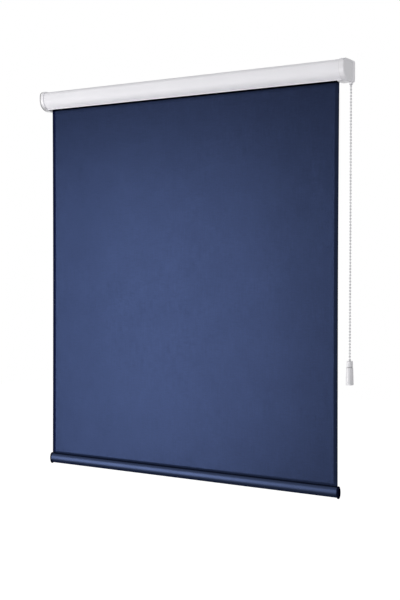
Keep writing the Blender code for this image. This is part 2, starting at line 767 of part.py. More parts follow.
def plate_screw(name, side, steel):
    """Pan-head screw that holds a side plate's tab to the rail."""
    x, z, _ = plate_holes(side)[0]
    seat = -EXTRUSION_WALL - TAB_WALL - 2 * FIT_GAP
    head = PLATE_SCREW_HEAD_RADIUS
    height = PLATE_SCREW_HEAD_HEIGHT
    profile = [
        (0.0, 0.0),
        (0.0, head * 0.6),
        (height * 0.35, head * 0.93),
        (height, head),
        (height, PLATE_SCREW_RADIUS),
        (-seat + height - 2 * FIT_GAP, PLATE_SCREW_RADIUS),
        (-seat + height - 2 * FIT_GAP, 0.0),
    ]
    screw = turned(name, profile, (0, 0, 0), "Z", SMALL_STEPS, closed=False)
    onto_wall = Matrix.Translation((x, seat - height - FIT_GAP, z)) @ Matrix.Rotation(-math.pi / 2, 4, "X")
    screw.data.transform(onto_wall)
    return finish(screw, steel, (x, seat, z))


def clutch_core(plastic):
    """Fixed post of the clutch: a square key in the side plate, a flange and a long bearing."""
    profile = [
        (CORE_OUTER_X, 0.0),
        (CORE_OUTER_X, CORE_FLANGE_RADIUS),
        (CORE_OUTER_X - CORE_FLANGE_WALL, CORE_FLANGE_RADIUS),
        (CORE_OUTER_X - CORE_FLANGE_WALL, CORE_RADIUS),
        (CORE_INNER_X, CORE_RADIUS),
        (CORE_INNER_X, 0.0),
    ]
    core = turned("clutch_core", profile, AXIS, "X", SMALL_STEPS, closed=False)
    boolean(core, square_key(1), "UNION")
    return finish(applied(core, "clutch_core"), plastic, (CORE_OUTER_X, AXIS.y, AXIS.z))


def square_key(side):
    """The square that keeps a bearing from turning in its side plate."""
    half = KEY_SIDE / 2
    low, high = mirrored_span(side, CORE_OUTER_X - CORE_FLANGE_WALL / 2, PLATE_OUTER_X)
    return box("key", (low, AXIS.y - half, AXIS.z - half), (high, AXIS.y + half, AXIS.z + half))


def chain_wheel(plastic):
    """Grooved wheel with bead pockets, and the slotted barrel that works the wrap springs."""
    half = WHEEL_WIDTH / 2
    rim = WHEEL_PITCH_RADIUS + WHEEL_FLANGE_PROUD
    groove = []
    steps = 8
    for step in range(steps + 1):
        angle = math.pi * step / steps
        groove.append(
            (
                WHEEL_X + PASSAGE_RADIUS * math.cos(angle),
                WHEEL_PITCH_RADIUS - PASSAGE_RADIUS * math.sin(angle),
            )
        )
    bore = CORE_RADIUS + FIT_GAP
    profile = [(WHEEL_X + half, bore), (WHEEL_X + half, rim), (WHEEL_X + PASSAGE_RADIUS, rim)]
    profile += groove
    profile += [
        (WHEEL_X - PASSAGE_RADIUS, rim),
        (WHEEL_X - half, rim),
        (WHEEL_X - half, BARREL_OUTER_RADIUS),
        (BARREL_END_X, BARREL_OUTER_RADIUS),
        (BARREL_END_X, BARREL_INNER_RADIUS),
        (WHEEL_X - half + FIT_GAP, BARREL_INNER_RADIUS),
        (WHEEL_X - half + FIT_GAP, bore),
    ]
    wheel = turned("chain_wheel", profile, AXIS, "X", 30)
    for pocket in range(WHEEL_POCKETS):
        angle = 2 * math.pi * pocket / WHEEL_POCKETS
        work = bmesh.new()
        bmesh.ops.create_uvsphere(work, u_segments=8, v_segments=6, radius=POCKET_DIAMETER / 2)
        mesh = bpy.data.meshes.new("pocket")
        work.to_mesh(mesh)
        work.free()
        out = Vector((0, math.cos(angle), math.sin(angle))) * WHEEL_PITCH_RADIUS
        mesh.transform(Matrix.Translation(Vector((WHEEL_X, AXIS.y, AXIS.z)) + out))
        boolean(wheel, mesh_object("pocket", mesh))
    slot = box(
        "barrel slot",
        (BARREL_END_X - FIT_GAP, AXIS.y - BARREL_SLOT / 2, AXIS.z + CORE_RADIUS),
        (WHEEL_X - half - BARREL_SLOT, AXIS.y + BARREL_SLOT / 2, AXIS.z + HUB_INNER_RADIUS),
    )
    boolean(wheel, slot)
    return finish(applied(wheel, "chain_wheel"), plastic, (WHEEL_X, AXIS.y, AXIS.z))


def helix(x_start, radius, pitch, turns, per_turn, tang_radius=None):
    """Points of a coil about the roller's axis, starting and ending on top, with radial tangs."""
    points = []
    count = turns * per_turn
    for i in range(count + 1):
        angle = 2 * math.pi * i / per_turn + math.pi / 2
        x = x_start + pitch * i / per_turn
        points.append((x, AXIS.y + radius * math.cos(angle), AXIS.z + radius * math.sin(angle)))
    if tang_radius:
        points.insert(0, (x_start, AXIS.y, AXIS.z + tang_radius))
        points.append((x_start + pitch * turns, AXIS.y, AXIS.z + tang_radius))
    return points


def wrap_spring(name, x_start, steel):
    """Spring that grips the clutch core and holds the roller where it is left."""
    route = helix(x_start, SPRING_RADIUS, SPRING_PITCH, SPRING_TURNS, 16, SPRING_TANG_RADIUS)
    spring = tube(name, route, SPRING_WIRE, sides_level=1)
    return finish(spring, steel, (x_start, AXIS.y, AXIS.z))


def drive_hub(plastic):
    """Sleeve that the clutch turns and that drives the tube from inside."""
    start = CLOTH_RIGHT + FIT_GAP
    outer = TUBE_RADIUS - TUBE_WALL - FIT_GAP
    profile = [
        (start + HUB_FLANGE_WALL, HUB_INNER_RADIUS),
        (start + HUB_FLANGE_WALL, TUBE_RADIUS),
        (start, TUBE_RADIUS),
        (start, outer),
        (HUB_END_X, outer),
        (HUB_END_X, CORE_RADIUS + FIT_GAP),
        (HUB_END_X + HUB_END_WALL, CORE_RADIUS + FIT_GAP),
        (HUB_END_X + HUB_END_WALL, HUB_INNER_RADIUS),
    ]
    hub = turned("drive_hub", profile, AXIS, "X", 24)
    return finish(hub, plastic, (start, AXIS.y, AXIS.z))


def roller_tube(aluminium):
    """Aluminium tube with a groove along it for the strip that holds the cloth."""
    inner = TUBE_RADIUS - TUBE_WALL
    profile = [
        (CLOTH_LEFT, inner),
        (CLOTH_LEFT, TUBE_RADIUS),
        (CLOTH_RIGHT, TUBE_RADIUS),
        (CLOTH_RIGHT, inner),
    ]
    roller = turned("roller_tube", profile, AXIS, "X", ROUND_STEPS)
    half = TUBE_GROOVE_WIDTH / 2
    groove = box(
        "tube groove",
        (CLOTH_LEFT - FIT_GAP, AXIS.y - half, AXIS.z + TUBE_RADIUS - TUBE_GROOVE_DEPTH),
        (CLOTH_RIGHT + FIT_GAP, AXIS.y + half, AXIS.z + 2 * TUBE_RADIUS),
    )
    boolean(roller, groove)
    return finish(applied(roller, "roller_tube"), aluminium, (CLOTH_LEFT, AXIS.y, AXIS.z))


def fabric_clamp_strip(plastic):
    """Strip that holds the cloth's end in the tube's groove."""
    half = TUBE_GROOVE_WIDTH / 2 - FIT_GAP
    foot = AXIS.z + TUBE_RADIUS - TUBE_GROOVE_DEPTH + FIT_GAP
    strip = box(
        "fabric_clamp_strip",
        (CLOTH_LEFT, AXIS.y - half, foot),
        (CLOTH_RIGHT, AXIS.y + half, foot + STRIP_HEIGHT),
    )
    return finish(strip, plastic, (CLOTH_LEFT, AXIS.y, AXIS.z), smooth=False)


def fabric_roll(cloth):
    """The turns of cloth that stay on the tube when the blind is down."""
    inner = TUBE_RADIUS + FIT_GAP
    profile = [
        (CLOTH_LEFT, inner),
        (CLOTH_LEFT, ROLL_RADIUS),
        (CLOTH_RIGHT, ROLL_RADIUS),
        (CLOTH_RIGHT, inner),
    ]
    roll = turned("fabric_roll", profile, AXIS, "X", ROUND_STEPS)
    return finish(roll, cloth, (CLOTH_LEFT, AXIS.y, AXIS.z))


def fabric_sheet(cloth):
    """The hanging cloth, from the back of the roll into the slot of the bottom bar."""
    half = CLOTH_THICKNESS / 2
    sheet = box(
        "fabric_sheet",
        (CLOTH_LEFT, CLOTH_Y - half, BAR_TOP_Z - HEM_INSIDE),
        (CLOTH_RIGHT, CLOTH_Y + half, AXIS.z),
    )
    return finish(sheet, cloth, (0, CLOTH_Y, AXIS.z), smooth=False)


def ellipse(height, depth, start, end, steps):
    """Points of an ellipse about the bar's centre, from one angle off the top to another."""
    points = []
    for step in range(steps + 1):
        angle = start + (end - start) * step / steps
        points.append(
            (CLOTH_Y + depth / 2 * math.sin(angle), BAR_CENTRE_Z + height / 2 * math.cos(angle))
        )
    return points


def bottom_bar(navy_metal):
    """Oval aluminium tube with a slot along its top for the hem of the cloth."""
    inner_height = BAR_HEIGHT - 2 * BAR_WALL
    inner_depth = BAR_DEPTH - 2 * BAR_WALL
    outer_start = math.asin(BAR_SLOT / BAR_DEPTH)
    inner_start = math.asin(BAR_SLOT / inner_depth)
    outline = ellipse(BAR_HEIGHT, BAR_DEPTH, outer_start, 2 * math.pi - outer_start, 36)
    outline += ellipse(inner_height, inner_depth, 2 * math.pi - inner_start, inner_start, 28)
    bar = extrusion("bottom_bar", outline, CLOTH_LEFT, CLOTH_RIGHT)
    return finish(bar, navy_metal, (0, CLOTH_Y, BAR_CENTRE_Z))


def hem_rod(plastic):
    """Rod that keeps the hem of the cloth inside the bar's slot."""
    clear_end = BAR_CAP_PLUG + 2 * FIT_GAP
    z = BAR_TOP_Z - HEM_INSIDE - FIT_GAP - HEM_ROD_RADIUS
    rod = cylinder(
        "hem_rod",
        (CLOTH_LEFT + clear_end, CLOTH_Y, z),
        (CLOTH_RIGHT - clear_end, CLOTH_Y, z),
        HEM_ROD_RADIUS,
        12,
    )
    return finish(rod, plastic, (0, CLOTH_Y, z))


def bar_cap(name, side, dark_plastic):
    """End cap of the bottom bar: an oval flange, larger than the bar, and a plug inside it."""
    inner = (-CLOTH_LEFT if side < 0 else CLOTH_RIGHT) + FIT_GAP
    low, high = mirrored_span(side, inner, inner + BAR_CAP_THICKNESS)
    full = 2 * math.pi
    height = BAR_HEIGHT + 2 * BAR_CAP_PROUD
    depth = BAR_DEPTH + 2 * BAR_CAP_PROUD_DEPTH
    steps = 31
    flange = extrusion(name, ellipse(height, depth, 0.0, full * steps / (steps + 1), steps), low, high)
    work = bmesh.new()
    work.from_mesh(flange.data)
    outer_x = side * (inner + BAR_CAP_THICKNESS)
    edges = [
        edge
        for edge in work.edges
        if all(abs(vert.co.x - outer_x) < 1e-6 for vert in edge.verts)
        and edge.calc_face_angle(0.0) > math.radians(45)
    ]
    bmesh.ops.bevel(work, geom=edges, offset=BAR_CAP_ROUND, segments=2, profile=0.5, affect="EDGES")
    work.to_mesh(flange.data)
    work.free()
    plug_height = BAR_HEIGHT - 2 * BAR_WALL - 2 * FIT_GAP
    plug_depth = BAR_DEPTH - 2 * BAR_WALL - 2 * FIT_GAP
    start = 0.30  # radians off the top, where the plug is flattened under the slot
    plug_outline = ellipse(plug_height, plug_depth, start, full - start, 20)
    low, high = mirrored_span(side, inner - FIT_GAP - BAR_CAP_PLUG, inner + BAR_CAP_THICKNESS / 2)
    boolean(flange, extrusion(name + " plug", plug_outline, low, high), "UNION")
    hem_z = BAR_TOP_Z - HEM_INSIDE - FIT_GAP
    low, high = mirrored_span(side, inner - 2 * BAR_CAP_PLUG, inner - FIT_GAP / 2)
    room = box(
        name + " hem room",
        (low, CLOTH_Y - BAR_DEPTH, hem_z),
        (high, CLOTH_Y + BAR_DEPTH, BAR_TOP_Z + BAR_WALL),
    )
    boolean(flange, room)
    return finish(applied(flange, name), dark_plastic, (outer_x, CLOTH_Y, BAR_CENTRE_Z))


def idle_plug(plastic):
    """Plug in the tube's left end, with the room for the sprung pin."""
    start = CLOTH_LEFT - FIT_GAP
    outer = TUBE_RADIUS - TUBE_WALL - FIT_GAP
    end = start + PLUG_LENGTH
    face = start - PLUG_FLANGE_WALL
    pin_hole = PIN_RADIUS + FIT_GAP
    room = PIN_COLLAR_RADIUS + FIT_GAP
    profile = [
        (face, pin_hole),
        (face, TUBE_RADIUS),
        (start, TUBE_RADIUS),
        (start, outer),
        (end, outer),
        (end, PLUG_VENT_RADIUS),
        (end - PLUG_END_WALL, PLUG_VENT_RADIUS),
        (end - PLUG_END_WALL, room),
        (face + PLUG_FACE_WALL, room),
        (face + PLUG_FACE_WALL, pin_hole),
    ]
    plug = turned("idle_plug", profile, AXIS, "X", 24)
    return finish(plug, plastic, (start, AXIS.y, AXIS.z))


def idle_places():
    """X of the bush's outer face, its mouth, the pin's tip, and the faces of the pin's collar."""
    bush_face = -CORE_OUTER_X
    bush_mouth = bush_face + BUSH_LENGTH
    pin_tip = bush_mouth - PIN_ENGAGEMENT
    collar = CLOTH_LEFT - FIT_GAP - PLUG_FLANGE_WALL + PLUG_FACE_WALL + FIT_GAP
    return bush_face, bush_mouth, pin_tip, collar


def idle_pin(steel):
    """Pin that the left end of the roller turns on. It is pushed in to take the roller out."""
    _, _, tip, collar = idle_places()
    back = collar + PIN_COLLAR_WALL
    profile = [
        (tip, 0.0),
        (tip, PIN_RADIUS - FIT_GAP),
        (tip + FIT_GAP, PIN_RADIUS),
        (collar, PIN_RADIUS),
        (collar, PIN_COLLAR_RADIUS),
        (back, PIN_COLLAR_RADIUS),
        (back, PIN_GUIDE_RADIUS),
        (back + PIN_GUIDE_LENGTH, PIN_GUIDE_RADIUS),
        (back + PIN_GUIDE_LENGTH, 0.0),
    ]
    pin = turned("idle_pin", profile, AXIS, "X", SMALL_STEPS, closed=False)
    return finish(pin, steel, (tip, AXIS.y, AXIS.z))


def idle_spring(steel):
    """Spring behind the pin's collar."""
    _, _, _, collar = idle_places()
    wire = RETURN_WIRE / 2 + FIT_GAP
    start = collar + PIN_COLLAR_WALL + wire
    end = CLOTH_LEFT - FIT_GAP + PLUG_LENGTH - PLUG_END_WALL - wire
    route = helix(start, RETURN_RADIUS, (end - start) / RETURN_TURNS, RETURN_TURNS, 12)
    spring = tube("idle_spring", route, RETURN_WIRE, sides_level=1)
    return finish(spring, steel, (start, AXIS.y, AXIS.z))


def idle_bush(plastic):
    """Bush on the left side plate that the pin turns in."""
    face, mouth, tip, _ = idle_places()
    bore = PIN_RADIUS + FIT_GAP
    profile = [
        (face, 0.0),
        (face, BUSH_FLANGE_RADIUS),
        (face + BUSH_FLANGE_WALL, BUSH_FLANGE_RADIUS),
        (face + BUSH_FLANGE_WALL, BUSH_RADIUS),
        (mouth, BUSH_RADIUS),
        (mouth, bore),
        (tip - FIT_GAP, bore),
        (tip - FIT_GAP, 0.0),
    ]
    bush = turned("idle_bush", profile, AXIS, "X", SMALL_STEPS, closed=False)
    boolean(bush, square_key(-1), "UNION")
    return finish(applied(bush, "idle_bush"), plastic, (face, AXIS.y, AXIS.z))


def on_wheel(angle, x):
    """A point of the chain's path on the wheel, at an angle up from the side near the wall."""
    return Vector(
        (
            x,
            AXIS.y + WHEEL_PITCH_RADIUS * math.cos(angle),
            AXIS.z + WHEEL_PITCH_RADIUS * math.sin(angle),
        )
    )


def contact_angle(foot, side):
    """Angle at which a straight leg of the chain from its foot touches the wheel's pitch circle."""
    across = Vector((foot.y - AXIS.y, foot.z - AXIS.z))
    return math.atan2(across.y, across.x) + side * math.acos(WHEEL_PITCH_RADIUS / across.length)


def leg(run, foot, contact):
    """Stops of one leg: straight up through the spout, then leaning over to the wheel."""
    over_wheel = Vector((contact.x, foot.y, foot.z))
    return [
        Vector((run.x, run.y, SPOUT_TIP_Z)),
        Vector((run.x, run.y, BOTTOM_Z)),
        foot,
        foot.lerp(over_wheel, 0.4).lerp(contact, 0.2),
        over_wheel.lerp(contact, 0.45),
        over_wheel.lerp(contact, 0.72),
    ]


def chain_wrap(chain):
    """The chain inside the cassette: up from the spout, over the wheel and back down."""
    bend_z = BOTTOM_Z + CHAIN_BEND_HEIGHT
    rear_foot = Vector((REAR_RUN.x, REAR_RUN.y, bend_z))
    front_foot = Vector((FRONT_RUN.x, FRONT_RUN.y, bend_z))
    leave = contact_angle(rear_foot, 1)
    arrive = contact_angle(front_foot, -1) + 2 * math.pi
    route = leg(REAR_RUN, rear_foot, on_wheel(leave, WHEEL_X))
    stops = 8
    for stop in range(stops + 1):
        route.append(on_wheel(leave + (arrive - leave) * stop / stops, WHEEL_X))
    route += leg(FRONT_RUN, front_foot, on_wheel(arrive, WHEEL_X))[::-1]
    wrap = tube("chain_wrap", smooth_route(route, 3), BEAD_DIAMETER)
    return finish(wrap, chain, (WHEEL_X, AXIS.y, AXIS.z))


def chain_run(name, place, chain):
    """One hanging run of the chain, from the spout to the weight.

    Its top slopes down to the front, so that the loop can swing forward under the spout."""
    top, foot = SPOUT_TIP_Z - FIT_GAP, WEIGHT_TOP_Z + FIT_GAP
    steps = 24
    points = [(place.x, place.y, top + (foot - top) * step / steps) for step in range(steps + 1)]
    run = tube(name, points, BEAD_DIAMETER)
    reach = BEAD_PITCH * 2
    wedge = box(name + " swing room", (-reach, -reach, 0), (reach, 0, reach))
    tilt = Matrix.Rotation(CHAIN_SWING, 4, "X")
    wedge.data.transform(Matrix.Translation((CHAIN_MIDDLE.x, CHAIN_MIDDLE.y, top)) @ tilt)
    boolean(run, wedge)
    return finish(applied(run, name), chain, (place.x, place.y, top))


def chain_turn(chain):
    """The turn of the chain inside the weight, round the peg."""
    centre = CHAIN_MIDDLE + Vector((0, 0, WEIGHT_TOP_Z - TURN_DEPTH))
    down = Vector((0, 0, -1))
    half = RUN_SPACING / 2
    above = centre - down * (TURN_DEPTH - COLLAR_LENGTH)
    shoulder = centre - down * TURN_SHOULDER
    top = centre - down * TURN_DEPTH
    route = [
        top + LOOP_LINE * half,
        above + LOOP_LINE * half,
        shoulder + LOOP_LINE * (TURN_RADIUS - FIT_GAP / 3),
    ]
    for step in range(9):
        angle = math.pi * step / 8
        route.append(centre + (LOOP_LINE * math.cos(angle) + down * math.sin(angle)) * TURN_RADIUS)
    route += [
        shoulder - LOOP_LINE * (TURN_RADIUS - FIT_GAP / 3),
        above - LOOP_LINE * half,
        top - LOOP_LINE * half,
    ]
    turn = tube("chain_turn", smooth_route(route, 3), BEAD_DIAMETER)
    return finish(turn, chain, centre)


def weight_collar(plastic):
    """Upper piece of the weight, with the passage for both runs."""
    top = WEIGHT_TOP_Z
    foot = top - COLLAR_LENGTH
    profile = [
        (top, 0.0),
        (top, COLLAR_TOP_RADIUS - WEIGHT_EDGE),
        (top - WEIGHT_EDGE * 0.35, COLLAR_TOP_RADIUS - WEIGHT_EDGE * 0.3),
        (top - WEIGHT_EDGE, COLLAR_TOP_RADIUS),
        (foot + WEIGHT_EDGE, COLLAR_FOOT_RADIUS),
        (foot, COLLAR_FOOT_RADIUS - WEIGHT_EDGE),
        (foot, 0.0),
    ]
    collar = turned("weight_collar", profile, (CHAIN_MIDDLE.x, CHAIN_MIDDLE.y, 0), "Z", 28, closed=False)
    half = RUN_SPACING / 2
    passage = obround_prism(
        "collar passage",
        [(foot - FIT_GAP, half, PASSAGE_RADIUS), (top + FIT_GAP, half, PASSAGE_RADIUS)],
    )
    boolean(collar, passage)
    place = (CHAIN_MIDDLE.x, CHAIN_MIDDLE.y, top)
    return finish(applied(collar, "weight_collar"), plastic, place)


def weight_body(plastic):
    """Lower piece of the weight: a tapered body with the hollow for the chain's turn."""
    top = WEIGHT_TOP_Z - COLLAR_LENGTH - WEIGHT_JOINT_GAP
    foot = WEIGHT_TOP_Z - WEIGHT_LENGTH
    edge = foot + WEIGHT_DOME
    profile = [
        (top, 0.0),
        (top, WEIGHT_TOP_RADIUS - WEIGHT_EDGE),
        (top - WEIGHT_EDGE, WEIGHT_TOP_RADIUS),
        (edge + WEIGHT_EDGE, WEIGHT_FOOT_RADIUS),
        (edge, WEIGHT_FOOT_RADIUS - WEIGHT_EDGE * 0.4),
        (foot + WEIGHT_DOME * 0.45, WEIGHT_FOOT_RADIUS * 0.72),
        (foot + WEIGHT_DOME * 0.1, WEIGHT_FOOT_RADIUS * 0.35),
        (foot, 0.0),
    ]
    body = turned("weight_body", profile, (CHAIN_MIDDLE.x, CHAIN_MIDDLE.y, 0), "Z", 28, closed=False)
    turn_z = WEIGHT_TOP_Z - TURN_DEPTH
    hollow = obround_prism(
        "weight hollow",
        [
            (turn_z - TURN_RADIUS - PASSAGE_RADIUS, TURN_RADIUS, PASSAGE_RADIUS),
            (turn_z + TURN_SHOULDER, TURN_RADIUS, PASSAGE_RADIUS),
            (top + FIT_GAP, RUN_SPACING / 2, PASSAGE_RADIUS),
        ],
    )
    boolean(body, hollow)
    start, end = peg_ends()
    clear = (end - start).normalized() * FIT_GAP
    boolean(body, cylinder("peg hole", start - clear, end + clear, peg_radius() + FIT_GAP, 14))
    return finish(applied(body, "weight_body"), plastic, (CHAIN_MIDDLE.x, CHAIN_MIDDLE.y, top))


def peg_radius():
    """The peg fills the inside of the chain's turn."""
    return TURN_RADIUS - BEAD_RADIUS - FIT_GAP


def peg_ends():
    """Both ends of the peg, which lies level and square to the loop."""
    across = Vector((-LOOP_LINE.y, LOOP_LINE.x, 0.0)) * PEG_REACH
    centre = CHAIN_MIDDLE + Vector((0, 0, WEIGHT_TOP_Z - TURN_DEPTH))
    return centre - across, centre + across


def weight_peg(steel):
    """Peg that the chain turns round inside the weight."""
    start, end = peg_ends()
    peg = cylinder("weight_peg", start, end, peg_radius(), 14)
    return finish(peg, steel, (start + end) / 2)


def hang_on(empty_name, place, parts):
    """Parents parts to an empty on the axis that they move about."""
    empty = bpy.data.objects.new(empty_name, None)
    empty.location = place
    empty.empty_display_size = 0.02
    model.objects.link(empty)
    for part in parts:
        part.parent = empty
        part.location = part.location - Vector(place)


def main():
    clear_scene()
    white_aluminium = material("White coated aluminium", (0.80, 0.80, 0.82), 0.35)
    white_plastic = material("White moulded plastic", (0.78, 0.78, 0.80), 0.40)
    bearing_plastic = material("Natural bearing plastic", (0.72, 0.71, 0.66), 0.45)
    steel = material("Zinc plated steel", (0.62, 0.63, 0.65), 0.35, 1.0)
    tube_aluminium = material("Mill finish aluminium", (0.70, 0.71, 0.72), 0.38, 1.0)
    cloth = material("Navy blackout cloth", (0.045, 0.070, 0.165), 0.85)
    navy_metal = material("Navy coated aluminium", (0.060, 0.080, 0.170), 0.45)
    dark_plastic = material("Dark navy plastic", (0.010, 0.011, 0.022), 0.40)
    chain_plastic = material("White bead chain", (0.72, 0.72, 0.74), 0.40)

    back_rail(white_aluminium)
    front_fascia(white_aluminium)
    for name, side in (("left", -1), ("right", 1)):
        end_cap(name + "_end_cap", side, white_plastic)
        side_plate(name + "_side_plate", side, steel)
        plate_screw(name + "_plate_screw", side, steel)
    clutch_core(bearing_plastic)
    idle_bush(bearing_plastic)
    chain_wrap(chain_plastic)

    first_spring = BARREL_END_X + SPRING_FROM_END
    second_spring = first_spring + SPRING_PITCH * SPRING_TURNS + SPRINGS_APART
    wheel = chain_wheel(bearing_plastic)
    roller_parts = [
        wrap_spring("wrap_spring_inner", first_spring, steel),
        wrap_spring("wrap_spring_outer", second_spring, steel),
        drive_hub(bearing_plastic),
        roller_tube(tube_aluminium),
        fabric_clamp_strip(white_plastic),
        fabric_roll(cloth),
        idle_plug(bearing_plastic),
        idle_spring(steel),
        idle_pin(steel),
    ]
    hang_on("roller_axis", AXIS, roller_parts)
    hang_on("chain_wheel_axis", (WHEEL_X, AXIS.y, AXIS.z), [wheel])

    blind_parts = [
        fabric_sheet(cloth),
        bottom_bar(navy_metal),
        hem_rod(white_plastic),
        bar_cap("left_bar_cap", -1, dark_plastic),
        bar_cap("right_bar_cap", 1, dark_plastic),
    ]
    hang_on("blind_lift_line", (0, CLOTH_Y, AXIS.z), blind_parts)

    chain_parts = [
        chain_run("chain_run_front", FRONT_RUN, chain_plastic),
        chain_run("chain_run_rear", REAR_RUN, chain_plastic),
        chain_turn(chain_plastic),
        weight_collar(white_plastic),
        weight_body(white_plastic),
        weight_peg(steel),
    ]
    hang_on("chain_swing_axis", (CHAIN_MIDDLE.x, CHAIN_MIDDLE.y, SPOUT_TIP_Z), chain_parts)


if __name__ == "__main__":
    main()
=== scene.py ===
"""Blackout roller blind in a slim white cassette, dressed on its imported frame.

Every piece sits in the frame's own metres: X along the roller, Y into the wall, Z up.
"""

import json
import math

import bmesh
import bpy
import mathutils
import numpy as np
from bpy.props import FloatProperty, FloatVectorProperty, IntProperty, PointerProperty
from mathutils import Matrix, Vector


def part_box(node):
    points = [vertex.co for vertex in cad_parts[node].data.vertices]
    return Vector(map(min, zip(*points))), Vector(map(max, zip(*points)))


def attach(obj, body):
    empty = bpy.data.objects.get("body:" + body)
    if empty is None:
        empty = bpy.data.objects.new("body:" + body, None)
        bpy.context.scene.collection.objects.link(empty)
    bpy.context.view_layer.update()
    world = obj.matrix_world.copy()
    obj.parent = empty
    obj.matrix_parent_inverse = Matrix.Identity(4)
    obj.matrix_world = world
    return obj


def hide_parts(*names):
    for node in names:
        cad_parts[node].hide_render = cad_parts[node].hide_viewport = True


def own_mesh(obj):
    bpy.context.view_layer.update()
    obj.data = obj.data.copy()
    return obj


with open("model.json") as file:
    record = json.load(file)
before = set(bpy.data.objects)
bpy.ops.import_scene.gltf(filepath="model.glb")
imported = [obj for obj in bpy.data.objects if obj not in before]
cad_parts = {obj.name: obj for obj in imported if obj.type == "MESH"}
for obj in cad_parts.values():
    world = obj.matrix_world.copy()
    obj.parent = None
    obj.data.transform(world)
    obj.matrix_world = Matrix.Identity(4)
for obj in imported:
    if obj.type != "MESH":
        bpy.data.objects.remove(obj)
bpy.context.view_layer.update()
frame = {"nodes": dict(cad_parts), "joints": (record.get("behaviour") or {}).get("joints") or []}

bl_info = {
    "name": "Cassette Roller Blind",
    "version": (1, 0, 0),
    "blender": (4, 5, 0),
    "location": "3D View > Sidebar > Roller Blind",
    "description": "Dresses the frame of a blackout roller blind in a slim cassette",
    "category": "Add Mesh",
}


def span(node):
    """Lowest and highest corner of a node of the frame, as arrays."""
    low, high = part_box(node)
    return np.array(low, float), np.array(high, float)


def middle(node):
    """Centre of a node's box."""
    low, high = span(node)
    return (low + high) / 2


# Places read from the frame
SHEET_LOW, SHEET_HIGH = span("fabric_sheet")
ROLL_LOW, ROLL_HIGH = span("fabric_roll")
BAR_LOW, BAR_HIGH = span("bottom_bar")
FRONT_RUN = middle("chain_run_front")
REAR_RUN = middle("chain_run_rear")
RUNS_MIDDLE = (FRONT_RUN + REAR_RUN)[:2] / 2
RUNS_SPREAD = float(np.linalg.norm(FRONT_RUN[:2] - RUNS_MIDDLE))  # from their middle to each run
RUNS_LINE = (FRONT_RUN[:2] - RUNS_MIDDLE) / RUNS_SPREAD
COLLAR_LOW, COLLAR_HIGH = span("weight_collar")
WEIGHT_LOW, WEIGHT_HIGH = span("weight_body")
WHEEL_HIGH = span("chain_wheel")[1]
LEFT_CAP_LOW = span("left_end_cap")[0]
AXIS_Y, AXIS_Z = middle("chain_wheel")[1:].tolist()
CHAIN_TOP = float(span("chain_run_front")[1][2])
CASSETTE_FOOT = float(LEFT_CAP_LOW[2])
LIP_FOOT = float(span("front_fascia")[0][2])
LIFT, PUSH = (
    next(joint for joint in frame["joints"] if joint["name"] == name)["range_m"][1]
    for name in ("blind_lift", "idle_pin_push")
)

ROLL_WALL = 0.0005  # of the frame's ring of wound cloth
SAME_PLACE = 1e-5  # metres between points of the frame that share a place

# Shares of the way by which the chain's legs lean over from the spout to the wheel
LEAN_FROM_FOOT, LEAN_FROM_FIRST, LEAN_MIDDLE, LEAN_LAST = 0.4, 0.2, 0.45, 0.72

# The weight's curved foot: shares of its radius and of the curve's height
DOME = ((1.0, 1.0), (0.72, 0.45), (0.35, 0.1), (0.0, 0.0))

LAMPS_AIM = (0.0, 0.0, -0.42)  # about the middle of the hanging cloth
FLOOR_WHITE = 0.8  # how much of the floor the eye sees as plain white
FLOOR_GLOW = 1.25  # strength of that white


def metres(name, description, default, precision=4):
    """A property that is a length in metres."""
    return FloatProperty(
        name=name, description=description, default=default, unit="LENGTH", precision=precision
    )


def degrees(name, description, default):
    """A property that is an angle, given in degrees."""
    return FloatProperty(
        name=name, description=description, default=math.radians(default), unit="ROTATION"
    )


def tint(name, description, default):
    """A property that is a colour."""
    return FloatVectorProperty(name=name, description=description, default=default, subtype="COLOR")


def number(name, description, default, least=2):
    """A property that is a number of steps or faces."""
    return IntProperty(name=name, description=description, default=default, min=least)


class ChainSizes(bpy.types.PropertyGroup):
    """Sizes of the bead chain."""

    bead: metres("Bead", "Diameter of a bead", 0.0045)
    pitch: metres("Pitch", "Distance between beads", 0.006)
    string: metres("String", "Diameter of the string", 0.0013)
    turn_radius: metres("Turn", "Radius of the turn inside the weight", 0.0039)
    turn_depth: metres("Turn depth", "From the weight's top to the centre of the turn", 0.0337)
    shoulder: metres("Shoulder", "Above the turn's centre, where the two runs start to part", 0.0062)
    wheel_radius: metres("Wheel", "Radius of the beads' path on the wheel", 0.009549, 6)
    wheel_width: metres("Wheel width", "Of the wheel's rim", 0.0066)
    bend_height: metres("Bend", "Above the cassette's bottom, where the chain leans to the wheel", 0.004)
    parting: metres("Parting", "From each end of the string to where the loop swings from", 0.0007)
    bead_segments: number("Bead segments", "Faces round a bead", 10, 6)
    bead_rings: number("Bead rings", "Faces from pole to pole", 6, 4)
    string_sides: number("String sides", "Faces round the string", 6, 3)
    turn_steps: number("Turn steps", "Points of the turn inside the weight", 13)
    wheel_steps: number("Wheel steps", "Points of the turn over the wheel", 17)
    curve_steps: number("Curve steps", "Points between two stops of the route over the wheel", 6)


